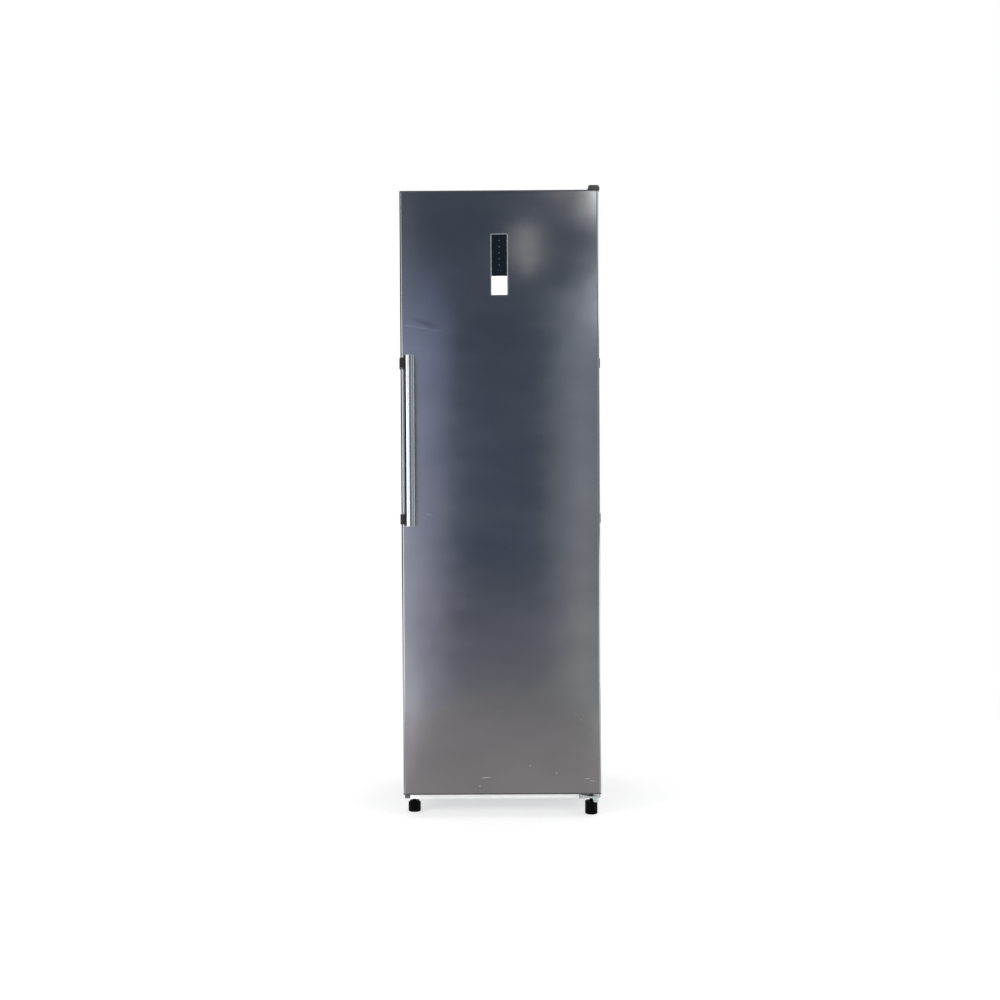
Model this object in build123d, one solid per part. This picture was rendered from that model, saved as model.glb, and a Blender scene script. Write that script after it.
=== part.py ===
from build123d import *
import math
import os

# Upright freezer with one full-height door, drawers and flaps inside. Millimetres.
# +Z is up, the door faces -Y and its hinges are on the +X side. The origin is the
# middle of the bounding box, on the floor.

os.makedirs("parts", exist_ok=True)

# ---- Driving dimensions ----

# Overall
cabinet_width = 598.0
cabinet_depth = 560.0
cabinet_height = 1845.0
floor_clearance = 46.0
door_thickness = 58.0
gasket_gap = 12.0
handle_reach = 56.0
condenser_reach = 25.0
hinge_cover_height = 14.0

# Steel shell
sheet = 0.8
front_flange = 34.0
rear_flange = 14.0
upstand_height = 67.0
rail_thickness = 1.2
rail_height = 36.0
rail_end_inset = 16.5
rail_foot_depth = 44.0

# Insulation and liner
side_wall = 62.0
top_wall = 65.0
floor_wall = 78.0
back_wall = 60.0
step_wall = 58.0
liner_wall = 2.0
liner_corner = 14.0
niche_depth = 230.0
niche_height = 205.0

# Shelves, drawers and flaps
drawer_count = 5
drawer_pitch = 250.0
drawer_setback = 30.0
drawer_side_gap = 17.5
drawer_lip = 4.0
drawer_wall = 2.5
drawer_corner = 10.0
drawer_side_drop = 56.0
front_side_gap = 10.5
front_gap = 10.0
grip_reach = 8.0
grip_height = 14.0
grip_drop = 16.0
bottom_drawer_rear_gap = 8.0
drawer_rear_gap = 18.0
running_gap = 0.3
glass_thickness = 4.0
glass_edge_gap = 0.4
trim_height = 12.0
trim_depth = 12.0
runner_web = 3.0
runner_ledge = 12.0
runner_rise = 6.0
flap_thickness = 3.0
flap_side_gap = 14.5
flap_floor_gap = 4.0
flap_pivot_drop = 16.0
flap_pivot_setback = 8.0
flap_pin_radius = 3.0
flap_pin_length = 10.0
flap_boss_radius = 7.0
flap_boss_length = 12.0
shaft_clearance = 0.06

# Cold air circuit
duct_depth = 58.0
cover_wall = 3.0
slot_width = 64.0
slot_height = 5.0
slots_in_row = 3
slot_pitch = 120.0
evaporator_side_gap = 40.5
evaporator_height = 230.0
evaporator_depth = 40.0
evaporator_gap = 2.0
evaporator_rise = 34.0
fin_count = 22
fin_thickness = 1.0
evaporator_tube_radius = 4.0
evaporator_rows = 6
heater_radius = 4.5
heater_rise = 16.0
fan_height_above_step = 420.0
fan_radius = 52.0
fan_depth = 16.0
fan_hub_radius = 14.0
blade_count = 5
blade_thickness = 1.6
blade_pitch_angle = 28.0
fan_shaft_radius = 2.0
shroud_size = 150.0
shroud_wall = 3.0
shroud_depth = 30.0
shroud_gap = 4.0
motor_radius = 19.0
motor_depth = 18.0
lamp_length = 130.0
lamp_depth = 18.0
lamp_height = 7.0
lamp_setback = 14.0

# Machine space
base_height = 10.0
base_thickness = 2.0
base_hem = 12.0
compressor_radius = 72.0
compressor_height = 140.0
compressor_inset = 201.5
compressor_setback = 112.0
seam_width = 4.0
seam_height = 5.0
compressor_lift = 8.0
foot_plate_length = 188.0
foot_plate_width = 112.0
grommet_radius = 11.0
grommet_height = 14.0
grommet_bore = 4.5
relay_width = 44.0
relay_depth = 70.0
relay_height = 78.0
tray_length = 180.0
tray_width = 130.0
tray_height = 26.0
tray_wall = 2.0
drier_radius = 10.0
drier_length = 90.0
drier_offset = 126.0
drier_setback = 40.0
drier_rise = 30.0
pipe_radius = 3.0
stub_reach = 14.0
stub_spread = 18.0
discharge_rise = 46.0
suction_rise = 96.0
pipe_step = 30.0
pipe_setback = 20.0
suction_run = 24.0
suction_offset = 36.0
liquid_drop = 34.0
liquid_sag = 14.0
capillary_rise = 16.0
capillary_run = 60.0
capillary_radius = 1.2
control_box_width = 130.0
control_box_depth = 62.0
control_box_height = 120.0
control_box_inset = 42.5
inlet_width = 34.0
inlet_height = 26.0
inlet_depth = 16.0
condenser_side_gap = 82.5
condenser_row_pairs = 12
condenser_pitch = 58.0
condenser_bend = 26.0
condenser_tube_radius = 2.5
condenser_leg_gap = 22.0
condenser_top_margin = 90.0
condenser_leg_drop = 60.0
wire_radius = 0.8
wire_count = 24
weld_gap = 0.05
clip_width = 16.0
clip_height = 20.0

# Door
door_bottom_rise = 26.0
door_top_gap = 2.0
door_edge_radius = 7.0
door_back_radius = 2.0
door_return = 10.0
door_cap_rim = 4.0
door_cap_skirt = 12.0
skirt_gap = 0.1
gasket_inset = 16.5
gasket_width = 16.0
gasket_neck = 8.0
gasket_foot = 3.0
gasket_magnet = 6.0
gasket_clearance = 0.3
dyke_reach = 8.0
dyke_clearance = 3.5
dyke_width = 26.0
dyke_corner = 12.0
door_panel_setback = 6.0

# Hinges
hinge_inset_x = 14.0
hinge_inset_y = 35.0
hinge_pin_radius = 5.0
hinge_pin_depth = 14.0
bush_radius = 9.0
hinge_plate = 3.0
hinge_plate_half_width = 11.0
hinge_wing = 15.0
hinge_plate_rear = 60.0
cover_left_margin = 16.5
cover_right_margin = 3.0
cover_front_setback = 9.0
cover_shell = 1.6
bottom_plate = 4.0
bottom_plate_drop = 12.0
bottom_bracket_width = 65.0
bottom_bracket_height = 32.0
bracket_screw_inset = 7.0
bracket_screw_pitch = 11.0
bracket_screw_drop = 9.5
bracket_screw_rise = 8.0
arm_screw_offset = 5.0
arm_screw_setback = 14.0
arm_screw_pitch = 15.0
collar_radius = 9.0
nut_radius = 8.0
nut_height = 8.0
pin_nut_height = 15.0
screw_head_radius = 4.2
screw_head_height = 2.6
screw_radius = 2.2
screw_length = 14.0
screw_clearance = 0.1
recess_length = 4.6
recess_width = 0.9
recess_depth = 1.3

# Handle
handle_width = 31.0
handle_depth = 20.0
handle_length = 511.0
handle_rise = 812.0
handle_inset = 30.0
handle_end_radius = 1.5
bracket_height = 29.0
bracket_upper_margin = 9.0
bracket_lower_margin = 6.0
bracket_plate = 3.4
bracket_side_length = 52.0
bracket_arm = 13.0
bracket_lean = 6.0
bracket_leg_back = 30.0
bracket_leg_front = 50.0
bracket_chamfer = 4.0
bracket_corner = 4.0
bracket_fit = 0.1
side_screw_setback = 18.0
side_screw_pitch = 24.0
plug_thickness = 2.0
plug_length = 44.0

# Control panel
panel_drop = 222.0
bezel_width = 52.0
bezel_height = 185.5
bezel_rim = 3.0
bezel_proud = 1.5
bezel_corner = 3.0
glass_height = 124.5
glass_recess = 0.3
glass_depth = 3.2
tray_depth = 22.0
tray_skin = 1.6
ledge_width = 1.8
board_thickness = 1.6
board_setback = 10.0
board_margin = 4.0

# Feet and rollers
foot_radius = 19.0
foot_height = 29.5
right_foot_height = 39.4
foot_collar_radius = 15.0
foot_collar_height = 3.8
foot_stud_radius = 5.0
foot_stud_top = 66.0
foot_edge_radius = 3.0
right_shoulder_radius = 1.0
foot_nut_radius = 9.0
foot_nut_height = 13.0
thread_clearance = 0.1
foot_inset_x = 27.5
left_foot_setback = 33.0
right_foot_setback = 59.2
foot_travel_up = 5.0
roller_radius = 20.0
roller_width = 16.0
roller_inset_x = 57.0
roller_setback = 62.0
axle_radius = 4.0
cheek_thickness = 2.5
cheek_gap = 0.6
cheek_half_length = 13.0

# ---- Places worked out from the dimensions ----

half_width = cabinet_width / 2
total_depth = handle_reach + door_thickness + gasket_gap + cabinet_depth + condenser_reach
handle_front_y = -total_depth / 2
door_front_y = handle_front_y + handle_reach
door_back_y = door_front_y + door_thickness
cabinet_front_y = door_back_y + gasket_gap
cabinet_back_y = cabinet_front_y + cabinet_depth
cabinet_bottom_z = floor_clearance
cabinet_top_z = cabinet_bottom_z + cabinet_height

cavity_half_width = half_width - side_wall
drawer_half_width = cavity_half_width - drawer_side_gap
front_half_width = cavity_half_width - front_side_gap
flap_half_width = cavity_half_width - flap_side_gap
evaporator_width = 2 * (cavity_half_width - evaporator_side_gap)
cavity_top_z = cabinet_top_z - top_wall
cavity_floor_z = cabinet_bottom_z + floor_wall
cavity_back_y = cabinet_back_y - back_wall
niche_front_y = cabinet_back_y - niche_depth
niche_top_z = cabinet_bottom_z + niche_height
step_front_y = niche_front_y - step_wall
step_top_z = niche_top_z + step_wall
upstand_top_z = cabinet_bottom_z + upstand_height

grip_front_y = cabinet_front_y + dyke_reach + drawer_setback
front_panel_y = grip_front_y + grip_reach
shelf_front_y = front_panel_y + flap_thickness + drawer_corner
cover_back_y = cavity_back_y - duct_depth
cover_front_y = cover_back_y - cover_wall
first_shelf_z = step_top_z + liner_corner + runner_web + glass_thickness
flap_shelf_z = first_shelf_z + (drawer_count - 1) * drawer_pitch
flap_pitch = (cavity_top_z - flap_shelf_z) / 2
shelf_tops = [first_shelf_z + i * drawer_pitch for i in range(drawer_count)]
shelf_tops.append(flap_shelf_z + flap_pitch)
fan_z = step_top_z + fan_height_above_step

door_bottom_z = cabinet_bottom_z + door_bottom_rise
door_top_z = cabinet_top_z - door_top_gap
door_liner_y = door_back_y - sheet
hinge_x = half_width - hinge_inset_x
hinge_y = door_front_y + hinge_inset_y
bottom_plate_z = door_bottom_z - bottom_plate_drop

bar_x = -half_width + handle_inset
bar_y = handle_front_y + handle_depth / 2
bar_bottom_z = door_bottom_z + handle_rise
bar_top_z = bar_bottom_z + handle_length
bracket_bottoms = (
    bar_bottom_z + bracket_lower_margin,
    bar_top_z - bracket_upper_margin - bracket_height,
)

base_top_z = cabinet_bottom_z + base_height + base_thickness
base_bottom_z = base_top_z - base_thickness
base_front_y = niche_front_y
control_box_x = -half_width + control_box_inset + control_box_width / 2
compressor_x = half_width - compressor_inset
compressor_y = cabinet_back_y - compressor_setback
compressor_bottom_z = base_top_z + compressor_lift
compressor_top_z = compressor_bottom_z + compressor_height
foot_plate_z = base_top_z + grommet_height
roller_y = cabinet_back_y - roller_setback

condenser_width = 2 * (half_width - condenser_side_gap)
condenser_rows = 2 * condenser_row_pairs + 1
condenser_tube_y = cabinet_back_y + condenser_reach - 2 * wire_radius - weld_gap - condenser_tube_radius
condenser_top_z = cabinet_top_z - condenser_top_margin
condenser_leg_x = condenser_width / 2 + condenser_leg_gap
condenser_leg_end_z = niche_top_z - condenser_leg_drop

left_foot = (-half_width + foot_inset_x, cabinet_front_y + left_foot_setback)
right_foot = (half_width - foot_inset_x, door_front_y + right_foot_setback)


# ---- Shared shapes ----


def block(x0, x1, y0, y1, z0, z1):
    # A rectangular solid between two corners.
    centre = Pos((x0 + x1) / 2, (y0 + y1) / 2, (z0 + z1) / 2)
    return centre * Box(x1 - x0, y1 - y0, z1 - z0)


def rod(start, end, radius):
    # A round bar from one point to another.
    run = Vector(*end) - Vector(*start)
    return extrude(Plane(origin=start, z_dir=run) * Circle(radius), run.length)


def profile_up(points, z0, z1):
    # An outline in X and Y, raised from z0 to z1.
    return extrude(Plane.XY.offset(z0) * make_face(Polyline(*points, close=True)), z1 - z0)


def profile_across(points, x0, x1):
    # An outline in Y and Z, carried across from x0 to x1.
    return extrude(Plane.YZ.offset(x0) * make_face(Polyline(*points, close=True)), x1 - x0)


def profile_back(points, y0, y1):
    # An outline in X and Z, carried back from y0 to y1.
    return extrude(Plane.XZ.offset(-y1) * make_face(Polyline(*points, close=True)), y1 - y0)


def mirrored(shape):
    return mirror(shape, about=Plane.YZ)


def group(shapes):
    # Several separate solids of one kind.
    return Compound([solid for shape in shapes for solid in shape.solids()])


def bent_tube(points, bend_radius, radius):
    # A round tube along straight runs joined by bends.
    path = FilletPolyline(*points, radius=bend_radius)
    section = Plane(origin=path @ 0, z_dir=path % 0) * Circle(radius)
    return sweep(section, path=path)


def screw(head_point, direction):
    # A pan head screw with a cross recess: the head stands on head_point, the shank runs along direction.
    head = Vector(*head_point)
    way = Vector(*direction)
    cap = rod(head - way * screw_head_height, head, screw_head_radius)
    edge = cap.edges().filter_by(GeomType.CIRCLE).sort_by(lambda e: (e.center() - head).dot(way))[0]
    cap = fillet(edge, screw_head_height / 3)
    top = Plane(origin=head - way * screw_head_height, z_dir=way)
    cap -= top * Box(recess_length, recess_width, 2 * recess_depth)
    cap -= top * Box(recess_width, recess_length, 2 * recess_depth)
    return cap + rod(head, head + way * screw_length, screw_radius)


def screw_hole(head_point, direction):
    # The clearance hole for the shank of such a screw.
    head = Vector(*head_point)
    way = Vector(*direction)
    return rod(head - way, head + way * (screw_length + 1), screw_radius + screw_clearance)


def cut_all(shape, tools):
    for tool in tools:
        shape -= tool
    return shape


def save(name, shape):
    export_step(shape, f"parts/{name}.step")


# ---- Cabinet shell ----

arm_screw_sides = (-1, 1, -1)
top_screw_points = [
    (
        hinge_x + arm_screw_sides[index] * arm_screw_offset,
        cabinet_front_y + arm_screw_setback + index * arm_screw_pitch,
        cabinet_top_z + hinge_plate,
    )
    for index in range(len(arm_screw_sides))
]
bracket_face_y = cabinet_front_y - rail_thickness - bottom_plate
bracket_left_x = half_width - bottom_bracket_width
bottom_screw_points = [
    (bracket_left_x + bracket_screw_inset + column * bracket_screw_pitch, bracket_face_y, bottom_plate_z + up)
    for column in range(2)
    for up in (-bracket_screw_drop, bracket_screw_rise)
]
down = (0, 0, -1)
backward = (0, 1, 0)


def top_screw_holes():
    return [screw_hole(point, down) for point in top_screw_points]


def bottom_screw_holes():
    return [screw_hole(point, backward) for point in bottom_screw_points]


def left_side_panel():
    # Painted sheet, folded in at the front and back, with its top strip meeting the top panel.
    inner_x = -half_width + sheet
    outline = [
        (-half_width + front_flange, cabinet_front_y),
        (-half_width, cabinet_front_y),
        (-half_width, cabinet_back_y),
        (-half_width + rear_flange, cabinet_back_y),
        (-half_width + rear_flange, cabinet_back_y - sheet),
        (inner_x, cabinet_back_y - sheet),
        (inner_x, cabinet_front_y + sheet),
        (-half_width + front_flange, cabinet_front_y + sheet),
    ]
    folded = profile_up(outline, cabinet_bottom_z, cabinet_top_z - sheet)
    strip = block(
        -half_width, inner_x, cabinet_front_y, cabinet_back_y, cabinet_top_z - sheet, cabinet_top_z
    )
    return folded + strip


def right_side_panel():
    return mirrored(left_side_panel())


def top_panel():
    inner_x = half_width - sheet
    flange_x = half_width - front_flange
    plate_z = cabinet_top_z - sheet
    plate = block(-inner_x, inner_x, cabinet_front_y, cabinet_back_y, plate_z, cabinet_top_z)
    front = block(
        -flange_x,
        flange_x,
        cabinet_front_y,
        cabinet_front_y + sheet,
        cabinet_top_z - front_flange,
        plate_z,
    )
    rear_x = half_width - rear_flange
    rear_z = cabinet_top_z - rear_flange
    rear = block(-rear_x, rear_x, cabinet_back_y - sheet, cabinet_back_y, rear_z, plate_z)
    return cut_all(plate + front + rear, top_screw_holes())


def rear_panel():
    # Flat back sheet between the folded rear edges of the shell.
    edge_x = half_width - rear_flange
    low_z = niche_top_z + sheet
    high_z = cabinet_top_z - rear_flange
    return block(-edge_x, edge_x, cabinet_back_y - sheet, cabinet_back_y, low_z, high_z)


def left_foot_hole(radius, z0, z1):
    return rod((*left_foot, z0), (*left_foot, z1), radius)


def base_pan():
    # One folded sheet: front upstand, floor pan, and the wall and roof of the machine niche.
    inner_x = half_width - sheet
    flange_x = half_width - front_flange
    pan_top = cabinet_bottom_z + sheet
    roof_top = niche_top_z + sheet
    wall_y = niche_front_y - sheet
    upstand = block(
        -flange_x, flange_x, cabinet_front_y, cabinet_front_y + sheet, cabinet_bottom_z, upstand_top_z
    )
    pan = block(-inner_x, inner_x, cabinet_front_y + sheet, niche_front_y, cabinet_bottom_z, pan_top)
    wall = block(-inner_x, inner_x, wall_y, niche_front_y, cabinet_bottom_z, roof_top)
    roof = block(-inner_x, inner_x, wall_y, cabinet_back_y - sheet, niche_top_z, roof_top)
    folded = upstand + pan + wall + roof
    nut_hole = left_foot_hole(foot_nut_radius + thread_clearance, cabinet_bottom_z - 1, pan_top + 1)
    return cut_all(folded - nut_hole, bottom_screw_holes())


def front_rail():
    # Folded rail under the door, with a pierced boss for the left foot's stud.
    end_x = half_width - rail_end_inset
    lip_z = cabinet_bottom_z - rail_thickness
    front_y = cabinet_front_y - rail_thickness
    face = block(-end_x, end_x, front_y, cabinet_front_y, lip_z, cabinet_bottom_z + rail_height)
    lip = block(-end_x, end_x, front_y, cabinet_front_y + rail_foot_depth, lip_z, cabinet_bottom_z)
    ear = block(
        left_foot[0] - foot_nut_radius,
        left_foot[0] + foot_nut_radius,
        front_y + rail_thickness,
        cabinet_front_y + rail_foot_depth,
        lip_z,
        cabinet_bottom_z,
    )
    boss = left_foot_hole(foot_nut_radius, lip_z, cabinet_bottom_z + foot_nut_height)
    thread = left_foot_hole(
        foot_stud_radius + thread_clearance, lip_z - 1, cabinet_bottom_z + foot_nut_height + 1
    )
    return cut_all(face + lip + ear + boss - thread, bottom_screw_holes())


def cold_space(grow):
    # The cold space, grown outwards by a wall thickness. Its floor steps up over the niche.
    top = cavity_top_z + grow
    floor = cavity_floor_z - grow
    step_z = step_top_z - grow
    step_y = step_front_y + grow
    back = cavity_back_y + grow
    outline = [
        (cabinet_front_y, floor),
        (step_y, floor),
        (step_y, step_z),
        (back, step_z),
        (back, top),
        (cabinet_front_y, top),
    ]
    width = cavity_half_width + grow
    space = profile_across(outline, -width, width)
    rounded = space.edges().filter_by(lambda e: e.bounding_box().max.Y > cabinet_front_y + 1)
    step_edge = (0, step_y, step_z)
    concave = rounded.filter_by(Axis.X).sort_by(lambda e: (e.center() - Vector(*step_edge)).length)
    rounded = rounded - concave[:1]
    return fillet(rounded, liner_corner + grow)


def inner_liner():
    # White vacuum-formed liner with pivot bosses for the two flaps.
    flange_x = half_width - front_flange
    flange = block(
        -flange_x,
        flange_x,
        cabinet_front_y,
        cabinet_front_y + liner_wall,
        upstand_top_z,
        cabinet_top_z - front_flange,
    )
    liner = cold_space(liner_wall) + flange - cold_space(0)
    for pivot_z in flap_pivots():
        for side in (-1, 1):
            outer = (side * cavity_half_width, flap_pivot_y, pivot_z)
            inner = (side * (cavity_half_width - flap_boss_length), flap_pivot_y, pivot_z)
            liner += rod(outer, inner, flap_boss_radius)
            liner -= rod(outer, inner, flap_pin_radius + shaft_clearance)
    return liner


def cabinet_foam():
    # Foam that fills the walls between the steel shell and the liner, as flat slabs that meet.
    shell_x = half_width - sheet
    liner_x = cavity_half_width + liner_wall
    front = cabinet_front_y + liner_wall
    back = cabinet_back_y - sheet
    niche_y = niche_front_y - sheet
    bottom = cabinet_bottom_z + sheet
    top = cabinet_top_z - sheet
    niche_z = niche_top_z + sheet
    step_y = step_front_y + liner_wall
    step_z = step_top_z - liner_wall
    liner_top = cavity_top_z + liner_wall
    side_slabs = [
        block(liner_x, shell_x, front, niche_y, bottom, niche_z),
        block(liner_x, shell_x, front, back, niche_z, top),
    ]
    roof = block(-liner_x, liner_x, front, back, liner_top, top)
    rear = block(-liner_x, liner_x, cavity_back_y + liner_wall, back, step_z, liner_top)
    floor = block(-liner_x, liner_x, front, step_y, bottom, cavity_floor_z - liner_wall)
    niche_wall = block(-liner_x, liner_x, step_y, niche_y, bottom, niche_z)
    niche_roof = block(-liner_x, liner_x, step_y, back, niche_z, step_z)
    slabs = side_slabs + [mirrored(slab) for slab in side_slabs]
    slabs += [roof, rear, floor, niche_wall, niche_roof]
    boss_top = cabinet_bottom_z + foot_nut_height + thread_clearance
    stud_top = foot_stud_top + foot_travel_up + 1
    tools = top_screw_holes() + bottom_screw_holes()
    tools.append(left_foot_hole(foot_nut_radius + thread_clearance, cabinet_bottom_z, boss_top))
    tools.append(left_foot_hole(foot_stud_radius + 1, cabinet_bottom_z, stud_top))
    return group([cut_all(slab, tools) for slab in slabs])


# ---- Cold space fittings ----

flap_pivot_y = front_panel_y + flap_pivot_setback


def flap_spans():
    # Floor and ceiling heights of the two flap compartments, from the bottom up.
    ceilings = (shelf_tops[-1] - trim_height, cavity_top_z)
    return list(zip(shelf_tops[-2:], ceilings))


def flap_pivots():
    return [ceiling - flap_pivot_drop for floor, ceiling in flap_spans()]


def shelf_runners():
    # An angle on each side wall under every glass shelf.
    runners = []
    for top in shelf_tops:
        glass_z = top - glass_thickness
        wall_x = cavity_half_width
        outline = [
            (wall_x, glass_z - runner_web),
            (wall_x, top + runner_rise),
            (wall_x - runner_web, top + runner_rise),
            (wall_x - runner_web, glass_z),
            (wall_x - runner_ledge, glass_z),
            (wall_x - runner_ledge, glass_z - runner_web),
        ]
        right = profile_back(outline, shelf_front_y, cover_front_y)
        runners.append(right)
        runners.append(mirrored(right))
    return group(runners)


def glass_shelves():
    edge_x = cavity_half_width - runner_web - glass_edge_gap
    glass_y = shelf_front_y + trim_depth
    panes = []
    for top in shelf_tops:
        pane = block(-edge_x, edge_x, glass_y, cover_front_y - 1, top - glass_thickness, top)
        panes.append(chamfer(pane.edges(), 0.4))
    return group(panes)


def shelf_trims():
    # White front strip on every shelf, with a lip that carries the glass.
    edge_x = cavity_half_width - runner_web - glass_edge_gap
    notch_x = cavity_half_width - runner_ledge - glass_edge_gap
    glass_y = shelf_front_y + trim_depth
    trims = []
    for top in shelf_tops:
        glass_z = top - glass_thickness
        nose = block(-edge_x, edge_x, shelf_front_y, glass_y, glass_z, top)
        nose = fillet(nose.edges().filter_by(Axis.X).group_by(Axis.Y)[0].sort_by(Axis.Z)[-1:], 2)
        lip = block(-notch_x, notch_x, shelf_front_y, glass_y + trim_depth, glass_z - 3, glass_z)
        apron = block(-notch_x, notch_x, shelf_front_y, shelf_front_y + 3, top - trim_height, glass_z)
        trims.append(nose + lip + apron)
    return group(trims)


def drawer(index):
    # A see-through basket with a front panel and a grip along its top. Index 0 is the lowest.
    floor_z = (cavity_floor_z if index == 0 else shelf_tops[index - 1]) + running_gap
    ceiling_z = shelf_tops[index] - trim_height
    front_top = ceiling_z - front_gap
    body_top = front_top - drawer_side_drop
    rear_y = step_front_y - bottom_drawer_rear_gap if index == 0 else cover_front_y - drawer_rear_gap
    panel_back = front_panel_y + drawer_wall
    outer = block(-drawer_half_width, drawer_half_width, front_panel_y, rear_y, floor_z, body_top)
    bottom_edges = outer.edges().filter_by(Axis.X).group_by(Axis.Z)[0]
    side_edges = outer.edges().filter_by(Axis.Y).group_by(Axis.Z)[0]
    upright_edges = outer.edges().filter_by(Axis.Z)
    outer = fillet(bottom_edges + side_edges + upright_edges, drawer_corner)
    hollow_x = drawer_half_width - drawer_wall
    hollow = block(
        -hollow_x,
        hollow_x,
        panel_back,
        rear_y - drawer_wall,
        floor_z + drawer_wall,
        body_top + drawer_corner,
    )
    bottom_edges = hollow.edges().filter_by(Axis.X).group_by(Axis.Z)[0]
    side_edges = hollow.edges().filter_by(Axis.Y).group_by(Axis.Z)[0]
    upright_edges = hollow.edges().filter_by(Axis.Z)
    hollow = fillet(bottom_edges + side_edges + upright_edges, drawer_corner - drawer_wall)
    rim_x = drawer_half_width + drawer_lip
    rim = block(-rim_x, rim_x, panel_back, rear_y + drawer_lip, body_top - drawer_wall, body_top)
    rim = fillet(rim.edges().filter_by(Axis.Z).group_by(Axis.Y)[-1], drawer_corner)
    panel = block(
        -front_half_width, front_half_width, front_panel_y, panel_back, floor_z, front_top
    )
    panel = fillet(panel.edges().filter_by(Axis.Y).group_by(Axis.Z)[0], drawer_corner)
    grip_bottom = front_top - grip_drop - grip_height
    grip = profile_across(
        [
            (front_panel_y, grip_bottom),
            (front_panel_y - grip_reach, grip_bottom + grip_reach),
            (front_panel_y - grip_reach, front_top - drawer_wall),
            (front_panel_y - grip_reach + drawer_wall, front_top),
            (panel_back, front_top),
            (panel_back, front_top - drawer_wall),
            (front_panel_y - grip_reach + drawer_wall, front_top - drawer_wall),
            (front_panel_y - grip_reach + drawer_wall, grip_bottom + grip_reach + 1),
            (front_panel_y + 1, grip_bottom),
        ],
        -front_half_width,
        front_half_width,
    )
    slot_above = block(
        -front_half_width,
        front_half_width,
        front_panel_y,
        panel_back,
        grip_bottom + grip_reach,
        front_top - drawer_wall,
    )
    return outer + rim + (panel - slot_above) + grip - hollow


def flap(index):
    # A see-through front that hangs on two pins and swings up.
    floor_z, ceiling_z = flap_spans()[index]
    pivot_z = ceiling_z - flap_pivot_drop
    top = pivot_z + flap_boss_radius
    bottom = floor_z + flap_floor_gap
    panel_back = front_panel_y + flap_thickness
    panel = block(-flap_half_width, flap_half_width, front_panel_y, panel_back, bottom, top)
    grip = profile_across(
        [
            (front_panel_y, bottom),
            (front_panel_y - grip_reach, bottom),
            (front_panel_y - grip_reach, bottom + grip_height),
            (front_panel_y - grip_reach + flap_thickness, bottom + grip_height),
            (front_panel_y - grip_reach + flap_thickness, bottom + flap_thickness),
            (front_panel_y, bottom + flap_thickness),
        ],
        -flap_half_width,
        flap_half_width,
    )
    shape = panel + grip
    for side in (-1, 1):
        inner_x = side * (flap_half_width - flap_thickness)
        outer_x = side * flap_half_width
        cheek = profile_across(
            [
                (panel_back, top),
                (panel_back, pivot_z - 40),
                (flap_pivot_y + flap_pin_radius + 2, pivot_z - flap_pin_radius - 2),
                (flap_pivot_y + flap_pin_radius + 2, top),
            ],
            min(inner_x, outer_x),
            max(inner_x, outer_x),
        )
        start = (inner_x, flap_pivot_y, pivot_z)
        end = (side * (flap_half_width + flap_pin_length), flap_pivot_y, pivot_z)
        shape += cheek + rod(start, end, flap_pin_radius)
    return shape


def evaporator_cover():
    # White plate over the evaporator, with rows of air slots above each shelf.
    plate = block(
        -cavity_half_width,
        cavity_half_width,
        cover_front_y,
        cover_back_y,
        first_shelf_z + 1,
        cavity_top_z - liner_corner,
    )
    slot_columns = [(i - (slots_in_row - 1) / 2) * slot_pitch for i in range(slots_in_row)]
    for top in shelf_tops:
        for row in range(2):
            slot_z = top + drawer_pitch - 60 - row * 4 * slot_height
            if slot_z > cavity_top_z - 2 * liner_corner:
                continue
            for x in slot_columns:
                plate -= block(
                    x - slot_width / 2,
                    x + slot_width / 2,
                    cover_front_y - 1,
                    cover_back_y + 1,
                    slot_z,
                    slot_z + slot_height,
                )
    return plate


evaporator_y = cover_back_y + evaporator_gap + evaporator_depth / 2
evaporator_bottom_z = step_top_z + evaporator_rise


def evaporator_coil():
    # Finned tube evaporator: two end plates stand on the liner's step and carry fins and tube rows.
    half = evaporator_width / 2
    front = evaporator_y - evaporator_depth / 2
    back = evaporator_y + evaporator_depth / 2
    top = evaporator_bottom_z + evaporator_height
    shape = None
    for index in range(fin_count):
        x = -half + index * (evaporator_width - fin_thickness) / (fin_count - 1)
        is_end = index in (0, fin_count - 1)
        low = step_top_z if is_end else evaporator_bottom_z
        fin = block(x, x + fin_thickness, front, back, low, top)
        shape = fin if shape is None else shape + fin
    row_pitch = evaporator_height / evaporator_rows
    tubes = []
    for row in range(evaporator_rows):
        z = evaporator_bottom_z + (row + 0.5) * row_pitch
        for side in (-1, 1):
            y = evaporator_y + side * evaporator_depth / 4
            tubes.append(rod((-half - 4, y, z), (half + 4, y, z), evaporator_tube_radius))
    for tube in tubes:
        shape += tube
    return shape


def defrost_heater():
    # Straight heating tube with end caps, held between the evaporator's end plates.
    half = evaporator_width / 2 - fin_thickness
    z = step_top_z + heater_rise
    tube = rod((-half, evaporator_y, z), (half, evaporator_y, z), heater_radius)
    for side in (-1, 1):
        cap_start = (side * half, evaporator_y, z)
        cap_end = (side * (half - 24), evaporator_y, z)
        tube += rod(cap_start, cap_end, heater_radius + 2.5)
    return tube


def fan_shroud():
    # Square plate with a round duct, fixed behind the evaporator cover.
    half = shroud_size / 2
    duct_radius = fan_radius + shroud_gap
    plate = block(
        -half, half, cover_back_y, cover_back_y + shroud_wall, fan_z - half, fan_z + half
    )
    plate = fillet(plate.edges().filter_by(Axis.Y), 8)
    duct_end = cover_back_y + shroud_depth
    duct = rod((0, cover_back_y, fan_z), (0, duct_end, fan_z), duct_radius + shroud_wall)
    hole = rod((0, cover_back_y - 1, fan_z), (0, duct_end + 1, fan_z), duct_radius)
    return plate + duct - hole


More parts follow.
